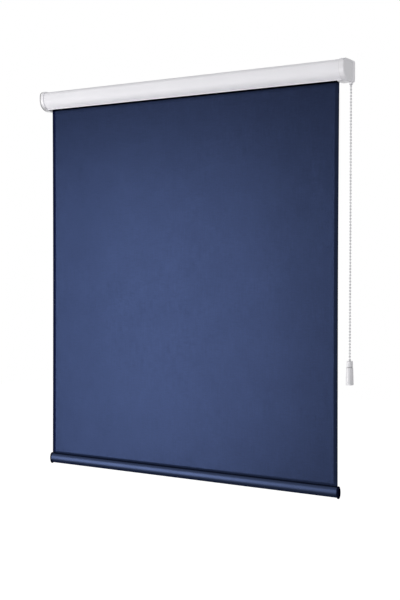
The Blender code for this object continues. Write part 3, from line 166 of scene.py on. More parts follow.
class ClothSizes(bpy.types.PropertyGroup):
    """Sizes of the cloth and its weave."""

    thickness: metres("Thickness", "Of the cloth", 0.00035, 5)
    rolled_thickness: metres("Rolled thickness", "Of the cloth where it is wound tight", 0.00022, 5)
    turns: FloatProperty(name="Turns", description="Turns that stay on the tube", default=1.9, min=0.5)
    turn_steps: number("Turn steps", "Points of one turn on the tube", 72, 12)
    bow: metres("Bow", "How far the hanging cloth waves", 0.0003, 5)
    thread: metres("Thread", "Distance between threads", 0.0006, 5)
    # Both shades below are painted shade on the cloth under the cover's lip
    shade: metres("Shade", "Below the cover's lip, where the slot's deep shade on the cloth ends", 0.0030)
    soft_shade: metres("Soft shade", "Below the cover's lip, where the softer shade ends", 0.010)
    waist: metres("Waist", "How far each edge draws in at half height", 0.0011)
    sealed_edge: metres("Sealed edge", "Width of the heat-cut edge, which is darker", 0.0013)
    roll_columns: number("Roll columns", "Points of the wound cloth across its width", 3)
    columns: number("Columns", "Points of the hanging cloth across its width", 77)
    rows: number("Rows", "Points of the hanging cloth down its length", 82)


class BarSizes(bpy.types.PropertyGroup):
    """Sizes of the bottom bar and its caps."""

    height: metres("Height", "Of the whole oval", 0.0205)
    gap: metres("Gap", "Between the bar and its caps", 0.0003, 5)
    wall: metres("Wall", "Of the oval tube", 0.0011)
    slot: metres("Slot", "Width of the slot for the cloth", 0.0016)
    cap_round: metres("Cap edge", "Rounding of the cap's edge", 0.0014)
    hem_inside: metres("Hem room", "Depth of the room for the hem over the plug", 0.0033)
    steps: number("Steps", "Faces round the oval", 96, 24)
    sections: number("Sections", "Points along the bar", 9)
    edge_steps: number("Edge steps", "Points of the cap's rounded edge", 6)


class WeightSizes(bpy.types.PropertyGroup):
    """Sizes of the chain's weight."""

    edge: metres("Edge", "Rounding of the edges", 0.0009)
    dome: metres("Dome", "Height of the curved foot", 0.0012)
    top_radius: metres("Top radius", "Of the lower piece", 0.0066)
    collar_top_radius: metres("Collar top", "Radius of the collar's top", 0.00575, 5)
    clearance: metres("Clearance", "Round the beads", 0.0003, 5)
    steps: number("Steps", "Faces round the weight", 72, 24)


class CapSizes(bpy.types.PropertyGroup):
    """Sizes of the end caps' edges, and of the upright web on the inner end of each cap's floor."""

    edge: metres("Edge", "Rounding of the edges", 0.0005)
    web_height: metres("Web height", "Above the cassette's bottom", 0.0085)
    web_near: metres("Web near side", "From the floor's end", 0.0001, 5)
    web_far: metres("Web far side", "From the floor's end", 0.0011)


class Finishes(bpy.types.PropertyGroup):
    """Colours of the materials."""

    coating: tint("Coating", "White coated aluminium", (0.800, 0.795, 0.830))
    plastic: tint("Plastic", "White moulded plastic", (0.79, 0.785, 0.815))
    cloth: tint("Cloth", "Navy cloth", (0.0112, 0.0165, 0.0380))
    bar: tint("Bar", "Navy coated aluminium", (0.030, 0.042, 0.086))
    bar_cap: tint("Bar cap", "Near-black plastic", (0.0022, 0.0028, 0.0090))
    chain: tint("Chain", "Bead chain", (0.70, 0.70, 0.72))


class StageSettings(bpy.types.PropertyGroup):
    """The camera, the lamps and the floor."""

    floor_height: metres("Floor", "Height of the floor", -1.65)
    floor_half: metres("Floor size", "From the floor's middle to its edge", 9.0)
    lens: FloatProperty(name="Lens", description="Focal length in millimetres", default=78.58)
    azimuth: degrees("Azimuth", "Where the camera looks", 37.803)
    pitch: degrees("Pitch", "How far the camera looks down", 1.347)
    roll: degrees("Roll", "Of the camera about its line of sight", 0.106)
    place: FloatVectorProperty(
        name="Place", description="Where the camera stands", default=(1.7031, -2.1625, -0.3788), unit="LENGTH"
    )
    shift: FloatProperty(name="Shift", description="Of the picture, as a share of its height", default=0.003)
    ambient: FloatProperty(name="Ambient", description="Strength of the world's light", default=0.35)


class Flow:
    """One socket's value inside a material, so that shader maths can be written as an expression.

    Numbers go through Math nodes, colours through Mix and vectors through Vector Math."""

    def __init__(self, paint, socket):
        self.paint = paint
        self.socket = socket

    def combined(self, operation, first, second):
        kinds = [part.socket.type for part in (first, second) if isinstance(part, Flow)]
        if "RGBA" in kinds:
            settings = {"data_type": "RGBA", "blend_type": operation}
            return self.paint.node("ShaderNodeMix", settings, Factor=1.0, A=first, B=second)
        kind = "ShaderNodeVectorMath" if "VECTOR" in kinds else "ShaderNodeMath"
        return self.paint.node(kind, {"operation": operation}, (first, second))

    def __add__(self, other):
        return self.combined("ADD", self, other)

    def __radd__(self, other):
        return self.combined("ADD", other, self)

    def __sub__(self, other):
        return self.combined("SUBTRACT", self, other)

    def __rsub__(self, other):
        return self.combined("SUBTRACT", other, self)

    def __mul__(self, other):
        return self.combined("MULTIPLY", self, other)

    def __rmul__(self, other):
        return self.combined("MULTIPLY", other, self)

    def maths(self, operation, *others):
        return self.paint.node("ShaderNodeMath", {"operation": operation}, (self, *others))

    def part(self, axis):
        """One of a vector's three numbers."""
        return self.paint.node("ShaderNodeSeparateXYZ", {}, (self,), output=axis)

    def ramp(self, low, high):
        """0 below low, 1 above high and a smooth rise between them."""
        settings = {"interpolation_type": "SMOOTHSTEP"}
        return self.paint.node("ShaderNodeMapRange", settings, Value=self, From_Min=low, From_Max=high)


class Paint:
    """The shader nodes of a material or a world in the making."""

    def __init__(self, owner):
        owner.use_nodes = True
        self.owner = owner
        self.tree = owner.node_tree
        self.tree.nodes.clear()

    def node(self, kind, settings=None, values=(), output=0, **named):
        """Adds a node: its settings first, then its sockets by order or by name, where names have _ for
        a space. Returns an output."""
        made = self.tree.nodes.new(kind)
        for key, value in (settings or {}).items():
            setattr(made, key, value)
        inputs = [socket for socket in made.inputs if socket.enabled]
        by_name = {socket.name.replace(" ", "_"): socket for socket in inputs}
        pairs = list(zip(inputs, values)) + [(by_name[key], value) for key, value in named.items()]
        for socket, value in pairs:
            self.feed(socket, value)
        outputs = [socket for socket in made.outputs if socket.enabled]
        chosen = outputs[output] if isinstance(output, int) else made.outputs[output]
        return Flow(self, chosen)

    def feed(self, socket, value):
        """Links a flow to a socket, or sets the socket's own value."""
        if isinstance(value, Flow):
            self.tree.links.new(value.socket, socket)
        else:
            socket.default_value = (*value, 1.0) if socket.type == "RGBA" else value

    def places(self):
        """Object coordinates in metres."""
        return self.node("ShaderNodeTexCoord", output="Object")

    def facing(self):
        """The direction that the surface faces."""
        return self.node("ShaderNodeNewGeometry", output="Normal")

    def noise(self, place, scale, detail, roughness=0.5):
        return self.node("ShaderNodeTexNoise", Vector=place, Scale=scale, Detail=detail, Roughness=roughness)

    def mixed(self, share, first, second):
        """A colour between two colours."""
        return self.node("ShaderNodeMix", {"data_type": "RGBA"}, Factor=share, A=first, B=second)

    def toned(self, share, colour, other):
        """A colour between a colour and the same one made lighter or darker by a number."""
        return self.mixed(share, colour, [channel * other for channel in colour])

    def bump(self, height, distance, strength):
        return self.node("ShaderNodeBump", Strength=strength, Distance=distance, Height=height)

    def finish(self, **sockets):
        """The Principled shader and the output."""
        return self.ended(self.node("ShaderNodeBsdfPrincipled", **sockets))

    def ended(self, shader, kind="ShaderNodeOutputMaterial"):
        """Links a shader to the output, and returns what was painted."""
        made = self.tree.nodes.new(kind)
        self.tree.links.new(shader.socket, made.inputs["Surface"])
        return self.owner


def new_material(name):
    """An empty material to paint."""
    return Paint(bpy.data.materials.new(name))


def shaded(base, *shades):
    """A colour made darker where each mask is 1, by that mask's share. A share below 0 makes it lighter."""
    for mask, share in shades:
        base = base * (1.0 - mask * share)
    return base


def once(make):
    """A material that is made the first time it is asked for, and is the same one after that."""
    made = {}

    def give(*values):
        if not made:
            made["paint"] = make(*values)
        return made["paint"]

    return give


@once
def white_coating(colour):
    """Satin white coating on aluminium, with the faint orange peel of a baked powder."""
    paint = new_material("White coated aluminium")
    place = paint.places()
    peel = paint.noise(place, 900.0, 2.0)
    cloud = paint.noise(place, 14.0, 3.0)
    base = paint.toned(cloud, colour, 0.965)
    rough = 0.52 + cloud * 0.08
    normal = paint.bump(peel, 0.00004, 0.35)
    return paint.finish(Base_Color=base, Roughness=rough, Normal=normal, Specular_IOR_Level=0.35)


def moulded_white(paint, colour):
    """Colour, roughness and bump of a glossy white moulding: a fine grain and faint flow marks."""
    grain = paint.noise(paint.places(), 2600.0, 1.0)
    flow = paint.noise(paint.places() * (1.0, 1.0, 0.35), 60.0, 3.0)
    return paint.toned(flow, colour, 0.96), 0.24 + flow * 0.12, paint.bump(grain, 0.00002, 0.25)


@once
def white_plastic(colour):
    """Glossy white moulding of the small parts."""
    paint = new_material("White moulded plastic")
    base, rough, normal = moulded_white(paint, colour)
    return paint.finish(Base_Color=base, Roughness=rough, Normal=normal)


@once
def weight_plastic(colour, joint):
    """The chain weight's moulding, with painted shade on its half towards the wall and the open end, and
    a painted shade line along the joint between its two pieces."""
    paint = new_material("White moulded weight")
    base, rough, bump = moulded_white(paint, colour)
    facing = paint.facing()
    # Painted shade on the half whose faces turn away from the light, towards the wall and the right
    away = (facing.part(0) * 0.79 + facing.part(1) * 0.61).ramp(-0.12, 0.16)
    # Painted shade along the groove where the two pieces meet
    from_joint = (paint.places().part(2) - joint).maths("ABSOLUTE")
    joint_shade = 1.0 - from_joint.ramp(0.0005, 0.0017)
    base = shaded(base, (away, 0.20), (joint_shade, 0.20))
    return paint.finish(Base_Color=base, Roughness=rough, Normal=bump)


@once
def moulded_cap(colour, end):
    """The end caps' moulding, with painted shade round the left end's outline, along the right end's top
    edge, on the side faces and underneath, a painted shade line where the rim meets the cover, and
    painted light on the rim's inner end.

    The masks are ramps of the distance from the cap's end face, of Y, and of the surface's direction."""
    paint = new_material("White moulded end cap")
    base, rough, bump = moulded_white(paint, colour)
    place = paint.places()
    across, towards_wall = place.part(0), place.part(1)
    from_end = end - across.maths("ABSOLUTE")
    facing = paint.facing()
    up = facing.part(2)
    rim = 1.0 - facing.part(0).maths("ABSOLUTE").ramp(0.90, 0.985)
    flat = 1.0 - rim
    left = 1.0 - across.ramp(-0.01, 0.01)
    right = 1.0 - left
    # Painted shade: each mask below darkens the moulding where shade falls, save the last, which is painted
    # light on the rim's inner end
    outline = left * rim * (1.0 - from_end.ramp(0.0036, 0.0052))
    top = right * rim * (1.0 - from_end.ramp(0.0019, 0.0026)) * up.ramp(0.25, 0.7)
    seam_shade = right * rim * from_end.ramp(0.0098, 0.0108)
    front = 1.0 - towards_wall.ramp(-0.032, -0.026)
    under_shade = (up * -1.0).ramp(0.35, 0.95) * rim * (left * front * 0.38 + 0.12)
    side_face_shade = flat * (1.0 - from_end.ramp(0.0010, 0.0014)) * (1.0 - towards_wall.ramp(-0.0118, -0.0108))
    inner_end_light = flat * from_end.ramp(0.0095, 0.0105)
    shades = ((outline, 0.70), (top, 0.40), (under_shade, 1.0), (side_face_shade, 0.10), (seam_shade, 0.10), (inner_end_light, -0.25))
    base = shaded(base, *shades)
    return paint.finish(Base_Color=base, Roughness=rough, Normal=bump)


@once
def bead_plastic(colour):
    """Moulded beads, each with a faintly different tone."""
    paint = new_material("Bead chain plastic")
    tone = paint.noise(paint.places(), 170.0, 1.0)
    base = paint.toned(tone, colour, 0.88)
    return paint.finish(Base_Color=base, Roughness=0.24 + tone * 0.1)


@once
def bearing_plastic():
    """Natural acetal of the clutch and bearings, waxy and a little warm."""
    paint = new_material("Natural bearing plastic")
    place = paint.places()
    cloud = paint.noise(place, 90.0, 3.0)
    base = paint.mixed(cloud, (0.72, 0.71, 0.65), (0.64, 0.62, 0.55))
    normal = paint.bump(paint.noise(place, 1800.0, 1.0), 0.00002, 0.3)
    return paint.finish(Base_Color=base, Roughness=0.38 + cloud * 0.12, Normal=normal)


@once
def zinc_steel():
    """Zinc plate on steel: a bluish bright metal with soft patches."""
    paint = new_material("Zinc plated steel")
    place = paint.places()
    patch = paint.noise(place, 120.0, 4.0)
    base = paint.mixed(patch, (0.60, 0.63, 0.67), (0.70, 0.69, 0.62))
    normal = paint.bump(paint.noise(place, 1500.0, 2.0), 0.00002, 0.3)
    return paint.finish(Base_Color=base, Roughness=0.26 + patch * 0.2, Metallic=1.0, Normal=normal)


@once
def mill_aluminium():
    """Bare extruded aluminium, with the die's fine lines along it."""
    paint = new_material("Mill finish aluminium")
    lines = paint.noise(paint.places() * (0.02, 1.0, 1.0), 3500.0, 2.0)
    cloud = paint.noise(paint.places(), 30.0, 2.0)
    base = paint.mixed(cloud, (0.72, 0.73, 0.74), (0.62, 0.63, 0.65))
    normal = paint.bump(lines, 0.00003, 0.4)
    return paint.finish(Base_Color=base, Roughness=0.30 + lines * 0.15, Metallic=1.0, Normal=normal)


def dark_finish(paint, base, rough, metallic, normal, edge_tint):
    """The look of the dark pieces: partly metallic, with a tint where they are seen at a slant."""
    return paint.finish(
        Base_Color=base,
        Roughness=rough,
        Metallic=metallic,
        Normal=normal,
        Specular_IOR_Level=0.0,
        Specular_Tint=edge_tint,
    )


@once
def woven_cloth(colour, sizes, width, lip_foot):
    """Plain weave in the piece's own UV map, in metres: warp and weft threads go over each other in turn.

    Each family of threads is a row of half sines, raised where it lies on top. Thick threads, streaks
    and clouds of two sizes vary the tone. The cut edges are sealed and darker. Below the cover's lip the
    cloth has painted shade: deep where the slot's shadow falls and softer below it."""
    paint = new_material("Navy blackout cloth")
    laid = paint.node("ShaderNodeUVMap", {"uv_map": "laid_out"})
    across, along = laid.part(0), laid.part(1)
    warp = (across * (math.pi / sizes.thread)).maths("SINE")
    weft = (along * (math.pi / sizes.thread)).maths("SINE")
    over = warp * weft
    warp_height = (warp.maths("ABSOLUTE") + over) * 0.5
    weft_height = (weft.maths("ABSOLUTE") - over) * 0.5
    weave = warp_height.maths("MAXIMUM", weft_height)
    slubs = paint.noise(laid * (60.0, 520.0, 1.0), 1.0, 3.0)
    streaks = paint.noise(laid * (420.0, 25.0, 1.0), 1.0, 2.0)
    clouds = paint.noise(laid, 260.0, 4.0, 0.65)
    drift = paint.noise(laid, 16.0, 2.0)
    tone = slubs * 0.35 + streaks * 0.25 + clouds * 0.40
    dark, light = ([channel * share for channel in colour] for share in (0.82, 1.20))
    base = paint.mixed(tone.ramp(0.36, 0.64), dark, light)
    base = base * (0.86 + weave * 0.28) * (0.91 + drift * 0.18)
    sealed = sizes.sealed_edge
    edge = across.maths("ABSOLUTE").ramp(width / 2 - sealed, width / 2 - sealed * 0.6)
    base = paint.mixed(edge, base, [channel * 0.42 for channel in colour])
    # Painted shade under the cover's lip: a deep band for the slot's shadow and a softer one below it
    deep = along.ramp(lip_foot - sizes.shade, lip_foot - sizes.shade * 0.3)
    soft = along.ramp(lip_foot - sizes.soft_shade, lip_foot)
    base = shaded(base, (deep, 0.97), (soft, 0.40))
    normal = paint.bump(weave + slubs * 0.3, 0.00012, 0.22)
    return dark_finish(paint, base, 0.26 + tone * 0.02, 0.667, normal, (0.20, 0.30, 0.60))


@once
def navy_coating(colour):
    """Satin navy coating on the bottom bar, with painted shade on its lower half, deepest underneath."""
    paint = new_material("Navy coated aluminium")
    place = paint.places()
    peel = paint.noise(place, 1100.0, 2.0)
    cloud = paint.noise(place, 25.0, 3.0)
    # Painted shade by how far the surface faces down
    down = paint.facing().part(2) * -1.0
    base = shaded(
        paint.toned(cloud, colour, 0.88), (down.ramp(-0.05, 0.30), 0.62), (down.ramp(0.50, 0.85), 0.80)
    )
    normal = paint.bump(peel, 0.00004, 0.3)
    return dark_finish(paint, base, 0.34 + cloud * 0.06, 0.6, normal, (0.25, 0.32, 0.60))


@once
def cap_plastic(colour):
    """Near-black moulding of the bar's end caps, finely grained."""
    paint = new_material("Near-black plastic")
    grain = paint.noise(paint.places(), 1600.0, 2.0)
    base = paint.toned(grain, colour, 1.5)
    normal = paint.bump(grain, 0.00004, 0.4)
    return dark_finish(paint, base, 0.40 + grain * 0.08, 0.6, normal, (0.1, 0.1, 0.2))


SAME_POINT = 1e-7  # metres between points of a new piece that are merged
SAME_FRAME_POINT = 1e-6  # the same for a copy of a node of the frame
FLAT_WITHIN = math.radians(0.4)  # between faces of the frame that are joined into one
EASED_FROM = math.radians(50.0)  # between faces whose edge is eased
FLAT_LEAD = 90  # how far flat faces lead the shading of the rounds beside them


def grid_faces(rows, columns, first=0):
    """Quads of a grid whose vertices are numbered row by row from a first number."""
    index = np.arange(rows * columns).reshape(rows, columns) + first
    quads = np.stack((index[:-1, :-1], index[:-1, 1:], index[1:, 1:], index[1:, :-1]), axis=-1)
    return quads.reshape(-1, 4)


def grid_of(x, y, z):
    """Points from their three coordinates, which are first spread over one common grid."""
    return np.stack(np.broadcast_arrays(x, y, z), axis=-1)


def whole_turn(steps):
    """Angles of a whole turn, the last on the first."""
    return np.linspace(0.0, 2 * math.pi, steps + 1)


def unit(vectors):
    """Vectors made one long."""
    return vectors / np.linalg.norm(vectors, axis=-1, keepdims=True)


def piece(name, grids, paint, body, nodes, sharp=35.0):
    """One mesh from several grids of points, merged where they meet, facing out, riding on a body."""
    firsts = np.cumsum([0] + [grid.shape[0] * grid.shape[1] for grid in grids])
    points = np.concatenate([grid.reshape(-1, 3) for grid in grids])
    faces = np.concatenate([grid_faces(*grid.shape[:2], first) for grid, first in zip(grids, firsts)])
    mesh = bpy.data.meshes.new(name)
    mesh.from_pydata(points.tolist(), [], faces.tolist())
    work = bmesh.new()
    work.from_mesh(mesh)
    bmesh.ops.remove_doubles(work, verts=work.verts, dist=SAME_POINT)
    bmesh.ops.recalc_face_normals(work, faces=work.faces)
    work.to_mesh(mesh)
    work.free()
    return shown(name, mesh, paint, body, nodes, sharp)


def placed(name, data):
    """A new object in the scene."""
    made = bpy.data.objects.new(name, data)
    bpy.context.scene.collection.objects.link(made)
    return made


def shown(name, mesh, paint, body, nodes, sharp):
    """Puts a mesh in the scene in place of its nodes of the frame."""
    mesh.shade_smooth()
    mesh.set_sharp_from_angle(angle=math.radians(sharp))
    mesh.materials.clear()
    mesh.materials.append(paint)
    made = placed(name, mesh)
    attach(made, body)
    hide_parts(*nodes)
    return made


def modified(made, name, kind, **settings):
    """Adds a modifier with its settings."""
    modifier = made.modifiers.new(name, kind)
    for key, value in settings.items():
        setattr(modifier, key, value)
    return made


def slot_paint(slot):
    """The material of the nodes that keep their shape, by their slot."""
    colours = bpy.context.scene.blind_finishes
    if slot == "coated_aluminium":
        return white_coating(colours.coating)
    if slot == "white_plastic":
        return white_plastic(colours.plastic)
    plain = {"bearing_plastic": bearing_plastic, "zinc_steel": zinc_steel, "mill_aluminium": mill_aluminium}
    return plain[slot]()


def smoothed_node(node, name, body, slot, paint=None, sharp=32.0, eased=0.0):
    """A merged copy of a rigid node of the frame, shaded smoothly over its rounds, its sharp edges
    eased where a width for that is given."""
    source = frame["nodes"][node]
    mesh = source.data.copy()
    mesh.name = name
    work = bmesh.new()
    work.from_mesh(mesh)
    bmesh.ops.transform(work, matrix=source.matrix_world, verts=work.verts)
    bmesh.ops.remove_doubles(work, verts=work.verts, dist=SAME_FRAME_POINT)
    bmesh.ops.dissolve_limit(
        work, angle_limit=FLAT_WITHIN, verts=work.verts, edges=work.edges, delimit=set()
    )
    work.to_mesh(mesh)
    work.free()
    made = shown(name, mesh, paint or slot_paint(slot), body, [node], sharp)
    if eased:
        settings = {"width": eased, "segments": 2, "limit_method": "ANGLE", "angle_limit": EASED_FROM}
        modified(made, "Eased edges", "BEVEL", **settings)
    return modified(made, "Flat faces lead", "WEIGHTED_NORMAL", keep_sharp=True, weight=FLAT_LEAD)


def smooth_route(stops, per_span):
    """Points of a Catmull-Rom curve through the stops: a cubic in each span whose ends keep the
    stops' places and half the step between their neighbours."""
    stops = np.asarray(stops, float)
    padded = np.vstack((2 * stops[0] - stops[1], stops, 2 * stops[-1] - stops[-2]))
    before, here, after, beyond = (padded[i : len(padded) - 3 + i, None, :] for i in range(4))
    t = (np.arange(per_span) / per_span)[None, :, None]
    curve = 0.5 * (
        2 * here
        + (after - before) * t
        + (2 * before - 5 * here + 4 * after - beyond) * t**2
        + (3 * here - before - 3 * after + beyond) * t**3
    )
    return np.vstack((curve.reshape(-1, 3), stops[-1]))


def travelled(route):
    """The distance along a route to each of its points."""
    return np.concatenate(([0.0], np.cumsum(np.linalg.norm(np.diff(route, axis=0), axis=1))))


def spaced(route, distances):
    """Points at given distances along a route."""
    return np.stack([np.interp(distances, travelled(route), values) for values in route.T], axis=-1)


def across(along, flat_normal):
    """The two directions across a route that lies near a flat plane: in the plane, and out of it."""
    side = unit(np.cross(along, flat_normal))
    return side, np.cross(side, along)


def string_grid(route, flat_normal, sizes):
    """A circle carried along a route, closed by a point at each end."""
    side, up = across(unit(np.gradient(route, axis=0)), flat_normal)
    angle = whole_turn(sizes.string_sides)[None, :, None]
    out = side[:, None, :] * np.cos(angle) + up[:, None, :] * np.sin(angle)
    ring = route[:, None, :] + sizes.string / 2 * out
    start, end = (np.repeat(place[None, None, :], angle.size, axis=1) for place in (route[0], route[-1]))
    return np.concatenate((start, ring, end))


def bead_grids(centres, along, side, up, sizes):
    """Balls whose poles lie on the string: a half circle from pole to pole turned about the route."""
    rise = np.linspace(0.0, math.pi, sizes.bead_rings + 1)[None, :, None, None]
    turn = whole_turn(sizes.bead_segments)[None, None, :, None]
    centres, along, side, up = (rows[:, None, None, :] for rows in (centres, along, side, up))
    out = side * np.cos(turn) + up * np.sin(turn)
    return list(centres + sizes.bead / 2 * (along * np.cos(rise) + out * np.sin(rise)))


def bead_string(name, route, flat_normal, sizes, body, nodes):
    """Beads at an even pitch on a string, the first and last at the same distance from the ends."""
    whole = travelled(route)[-1]
    lead = sizes.pitch / 2 - sizes.parting
    gaps = round((whole - 2 * lead) / sizes.pitch)
    distances = lead + (whole - 2 * lead) * np.arange(gaps + 1) / gaps
    step = sizes.pitch / 4
    along = unit(spaced(route, distances + step) - spaced(route, distances - step))
    grids = bead_grids(spaced(route, distances), along, *across(along, flat_normal), sizes)
    fine = spaced(route, np.linspace(0.0, whole, gaps * 2 + 1))
    grids.append(string_grid(fine, flat_normal, sizes))
    paint = bead_plastic(bpy.context.scene.blind_finishes.chain)
    return piece(name, grids, paint, body, nodes, sharp=80.0)


def hanging_route(sizes):
    """The loop's middle line: straight down the front run, apart to the turn in the weight, half a
    circle round it, and the same way up the rear run."""
    centre = np.array([*RUNS_MIDDLE, COLLAR_HIGH[2] - sizes.turn_depth])
    line = np.array([*RUNS_LINE, 0.0])
    up = np.array([0.0, 0.0, 1.0])
    leg = [
        (RUNS_SPREAD, CHAIN_TOP - sizes.parting),
        (RUNS_SPREAD, COLLAR_LOW[2]),
        (sizes.turn_radius, centre[2] + sizes.shoulder),
    ]
    front, rear = (
        [centre + line * out * side + up * (height - centre[2]) for out, height in leg] for side in (1, -1)
    )
    angle = np.linspace(0.0, math.pi, sizes.turn_steps)[:, None]
    turn = centre + (line * np.cos(angle) - up * np.sin(angle)) * sizes.turn_radius
    return np.vstack((front, turn, rear[::-1])), np.cross(line, up)


def wheel_route(sizes):
    """The middle line over the wheel: up each leg from the spout to where it meets the beads' circle
    at a tangent, and round the top of the wheel between them."""
    wheel_x = float(WHEEL_HIGH[0]) - sizes.wheel_width / 2

    def on_wheel(angle):
        """Points of the beads' circle."""
        reach = sizes.wheel_radius
        return grid_of(wheel_x, AXIS_Y + reach * np.cos(angle), AXIS_Z + reach * np.sin(angle))

    legs, angles = [], []
    for run, side, turns in ((REAR_RUN, 1, 0), (FRONT_RUN, -1, 1)):
        x, y, _ = run
        foot = np.array([x, y, CASSETTE_FOOT + sizes.bend_height])
        away = (y - AXIS_Y, foot[2] - AXIS_Z)
        lean = side * math.acos(sizes.wheel_radius / math.hypot(*away))
        angles.append(math.atan2(away[1], away[0]) + lean + turns * 2 * math.pi)
        contact = on_wheel(angles[-1])
        over = np.array([contact[0], y, foot[2]])
        first = foot + (over - foot) * LEAN_FROM_FOOT
        legs.append(
            [
                np.array([x, y, CHAIN_TOP + sizes.parting]),
                np.array([x, y, CASSETTE_FOOT]),
                foot,
                first + (contact - first) * LEAN_FROM_FIRST,
                over + (contact - over) * LEAN_MIDDLE,
                over + (contact - over) * LEAN_LAST,
            ]
        )
    stops = [*legs[0], *on_wheel(np.linspace(*angles, sizes.wheel_steps)), *legs[1][::-1]]
    return smooth_route(stops, sizes.curve_steps), np.array([1.0, 0.0, 0.0])


def lathe(profile, centre_x, centre_y, steps):
    """A profile of (radius, height) points turned about an upright line."""
    radius, height = np.asarray(profile, float).T[:, :, None]
    angle = whole_turn(steps)
    return grid_of(centre_x + radius * np.cos(angle), centre_y + radius * np.sin(angle), height)


def rounded(corners, radius, steps=5):
    """An open profile whose inner corners are rounded: at each, a quadratic curve between the points
    that lie a radius away along both sides."""
    corners = np.asarray(corners, float)
    share = np.linspace(0.0, 1.0, steps + 1)[:, None]
    points = [corners[:1]]
    for before, corner, after in zip(corners, corners[1:], corners[2:]):
        back, ahead = before - corner, after - corner
        reach = min(radius, np.linalg.norm(back) / 2, np.linalg.norm(ahead) / 2)
        start = corner + unit(back) * reach
        end = corner + unit(ahead) * reach
        points.append((1 - share) ** 2 * start + 2 * share * (1 - share) * corner + share**2 * end)
    points.append(corners[-1:])
    return np.concatenate(points)


def obround_ring(half_spread, radius, height, steps):
    """A ring round both runs: two half circles joined by straight sides, as many points as a lathe's."""
    steepness = 50  # of the step from one half circle to the other
    side = np.array([-RUNS_LINE[1], RUNS_LINE[0]])
    angle = whole_turn(steps) - math.atan2(RUNS_LINE[1], RUNS_LINE[0])
    reach = radius * np.cos(angle) + np.clip(np.cos(angle) * steepness, -1, 1) * half_spread
    flat = RUNS_MIDDLE + reach[:, None] * RUNS_LINE + (radius * np.sin(angle))[:, None] * side
    return np.column_stack((flat, np.full(steps + 1, height)))


def carried(outline, x_places):
    """A closed outline of (y, z) points carried along X."""
    outline = np.vstack((outline, outline[:1]))
    return grid_of(np.asarray(x_places, float)[:, None], *outline.T)


def strip_end(outer, inner, x):
    """The flat end of a walled shape, between its outer and inner curves."""
    both = np.stack((outer, inner))
    return grid_of(x, both[..., 0], both[..., 1])


def oval(height, depth, centre, start, end, steps):
    """Points of an ellipse in the (y, z) plane, from one angle off the top to another."""
    angle = np.linspace(start, end, steps + 1)
    return np.stack(
        (centre[1] + depth / 2 * np.sin(angle), centre[2] + height / 2 * np.cos(angle)), axis=-1
    )


class ROLLERBLIND_OT_chain(bpy.types.Operator):
    """Makes the bead chain: the hanging loop and the beads over the wheel"""

    bl_idname = "roller_blind.chain"
    bl_label = "Bead Chain"

    def execute(self, context):
        sizes = context.scene.blind_chain
        route, flat_normal = hanging_route(sizes)
        nodes = ["chain_run_front", "chain_run_rear", "chain_turn"]
        loop = bead_string("chain_loop", route, flat_normal, sizes, "pull_chain", nodes)
        bead_string("chain_over_wheel", *wheel_route(sizes), sizes, "cassette", ["chain_wrap"])
        return {"FINISHED"}


class ROLLERBLIND_OT_weight(bpy.types.Operator):
    """Makes the weight that hangs on the chain"""

    bl_idname = "roller_blind.weight"
    bl_label = "Chain Weight"

    def execute(self, context):
        sizes = context.scene.blind_weight
        chain = context.scene.blind_chain
        joint = float(COLLAR_LOW[2] + WEIGHT_HIGH[2]) / 2
        paint = weight_plastic(context.scene.blind_finishes.plastic, joint)
        passage = chain.bead / 2 + sizes.clearance

        def turned_piece(name, node, profile, inner_rings, last_ring=()):
            """A lathed outside whose first and last rings meet the rings of the passage inside it."""
            outside = lathe(rounded(profile, sizes.edge), *middle("weight_collar")[:2], sizes.steps)
            rings = [obround_ring(*ring, sizes.steps) for ring in inner_rings]
            rings += [*outside, *(obround_ring(*ring, sizes.steps) for ring in last_ring)]
            piece(name, [np.stack(rings)], paint, "pull_chain", [node])

        top, foot = COLLAR_HIGH[2], COLLAR_LOW[2]
        wide, narrow = (COLLAR_HIGH - COLLAR_LOW)[0] / 2, sizes.collar_top_radius
        profile = [(narrow - sizes.edge, top), (narrow, top), (wide, foot), (wide - sizes.edge, foot)]
        low_ring, high_ring = (RUNS_SPREAD, passage, foot), (RUNS_SPREAD, passage, top)
        turned_piece("weight_top", "weight_collar", profile, [low_ring, high_ring], [low_ring])

        turn_centre = COLLAR_HIGH[2] - chain.turn_depth
        hollow_foot = turn_centre - chain.turn_radius - passage
        top, foot = WEIGHT_HIGH[2], WEIGHT_LOW[2]
        wide, narrow = (WEIGHT_HIGH - WEIGHT_LOW)[0] / 2, sizes.top_radius
        profile = [(narrow - sizes.edge, top), (narrow, top)]
        profile += [(wide * out, foot + sizes.dome * up) for out, up in DOME]
        inner_rings = [
            (0.0, 0.0, hollow_foot),
            (chain.turn_radius, passage, hollow_foot),
            (chain.turn_radius, passage, turn_centre + chain.shoulder),
            (RUNS_SPREAD, passage, top),
        ]
        turned_piece("weight_bottom", "weight_body", profile, inner_rings)
        smoothed_node("weight_peg", "weight_pin", "pull_chain", "zinc_steel")
        return {"FINISHED"}


def slot_web(side, sizes, paint):
    """An upright web on the inner end of a cap's floor, which closes the cap's hollow beside the cloth.

    Its foot runs through the middle of the floor's wall, between the corners of the floor's end, which
    come in pairs along Y. In each step of Y its section is a rectangle."""
    source = frame["nodes"][side + "_end_cap"]
    corners = np.array([source.matrix_world @ vertex.co for vertex in source.data.vertices])
    inner = corners[np.abs(corners[:, 0]).argmin(), 0]
    ends = np.unique(np.round(corners[np.abs(corners[:, 0] - inner) < SAME_PLACE], 6), axis=0)
    _, y, z = ((ends[0::2] + ends[1::2]) / 2).T[:, :, None]
    near, far = (inner + math.copysign(reach, inner) for reach in (sizes.web_near, sizes.web_far))
    at_top = np.array([False, True, True, False, False])
    height = np.where(at_top, CASSETTE_FOOT + sizes.web_height, z)
    box = grid_of(np.array([near, near, far, far, near]), y, height)
    grids = [box] + [np.stack((end[:2], end[3:1:-1])) for end in (box[0], box[-1])]
    return piece(side + "_cap_web", grids, paint, "cassette", [side + "_end_cap"])


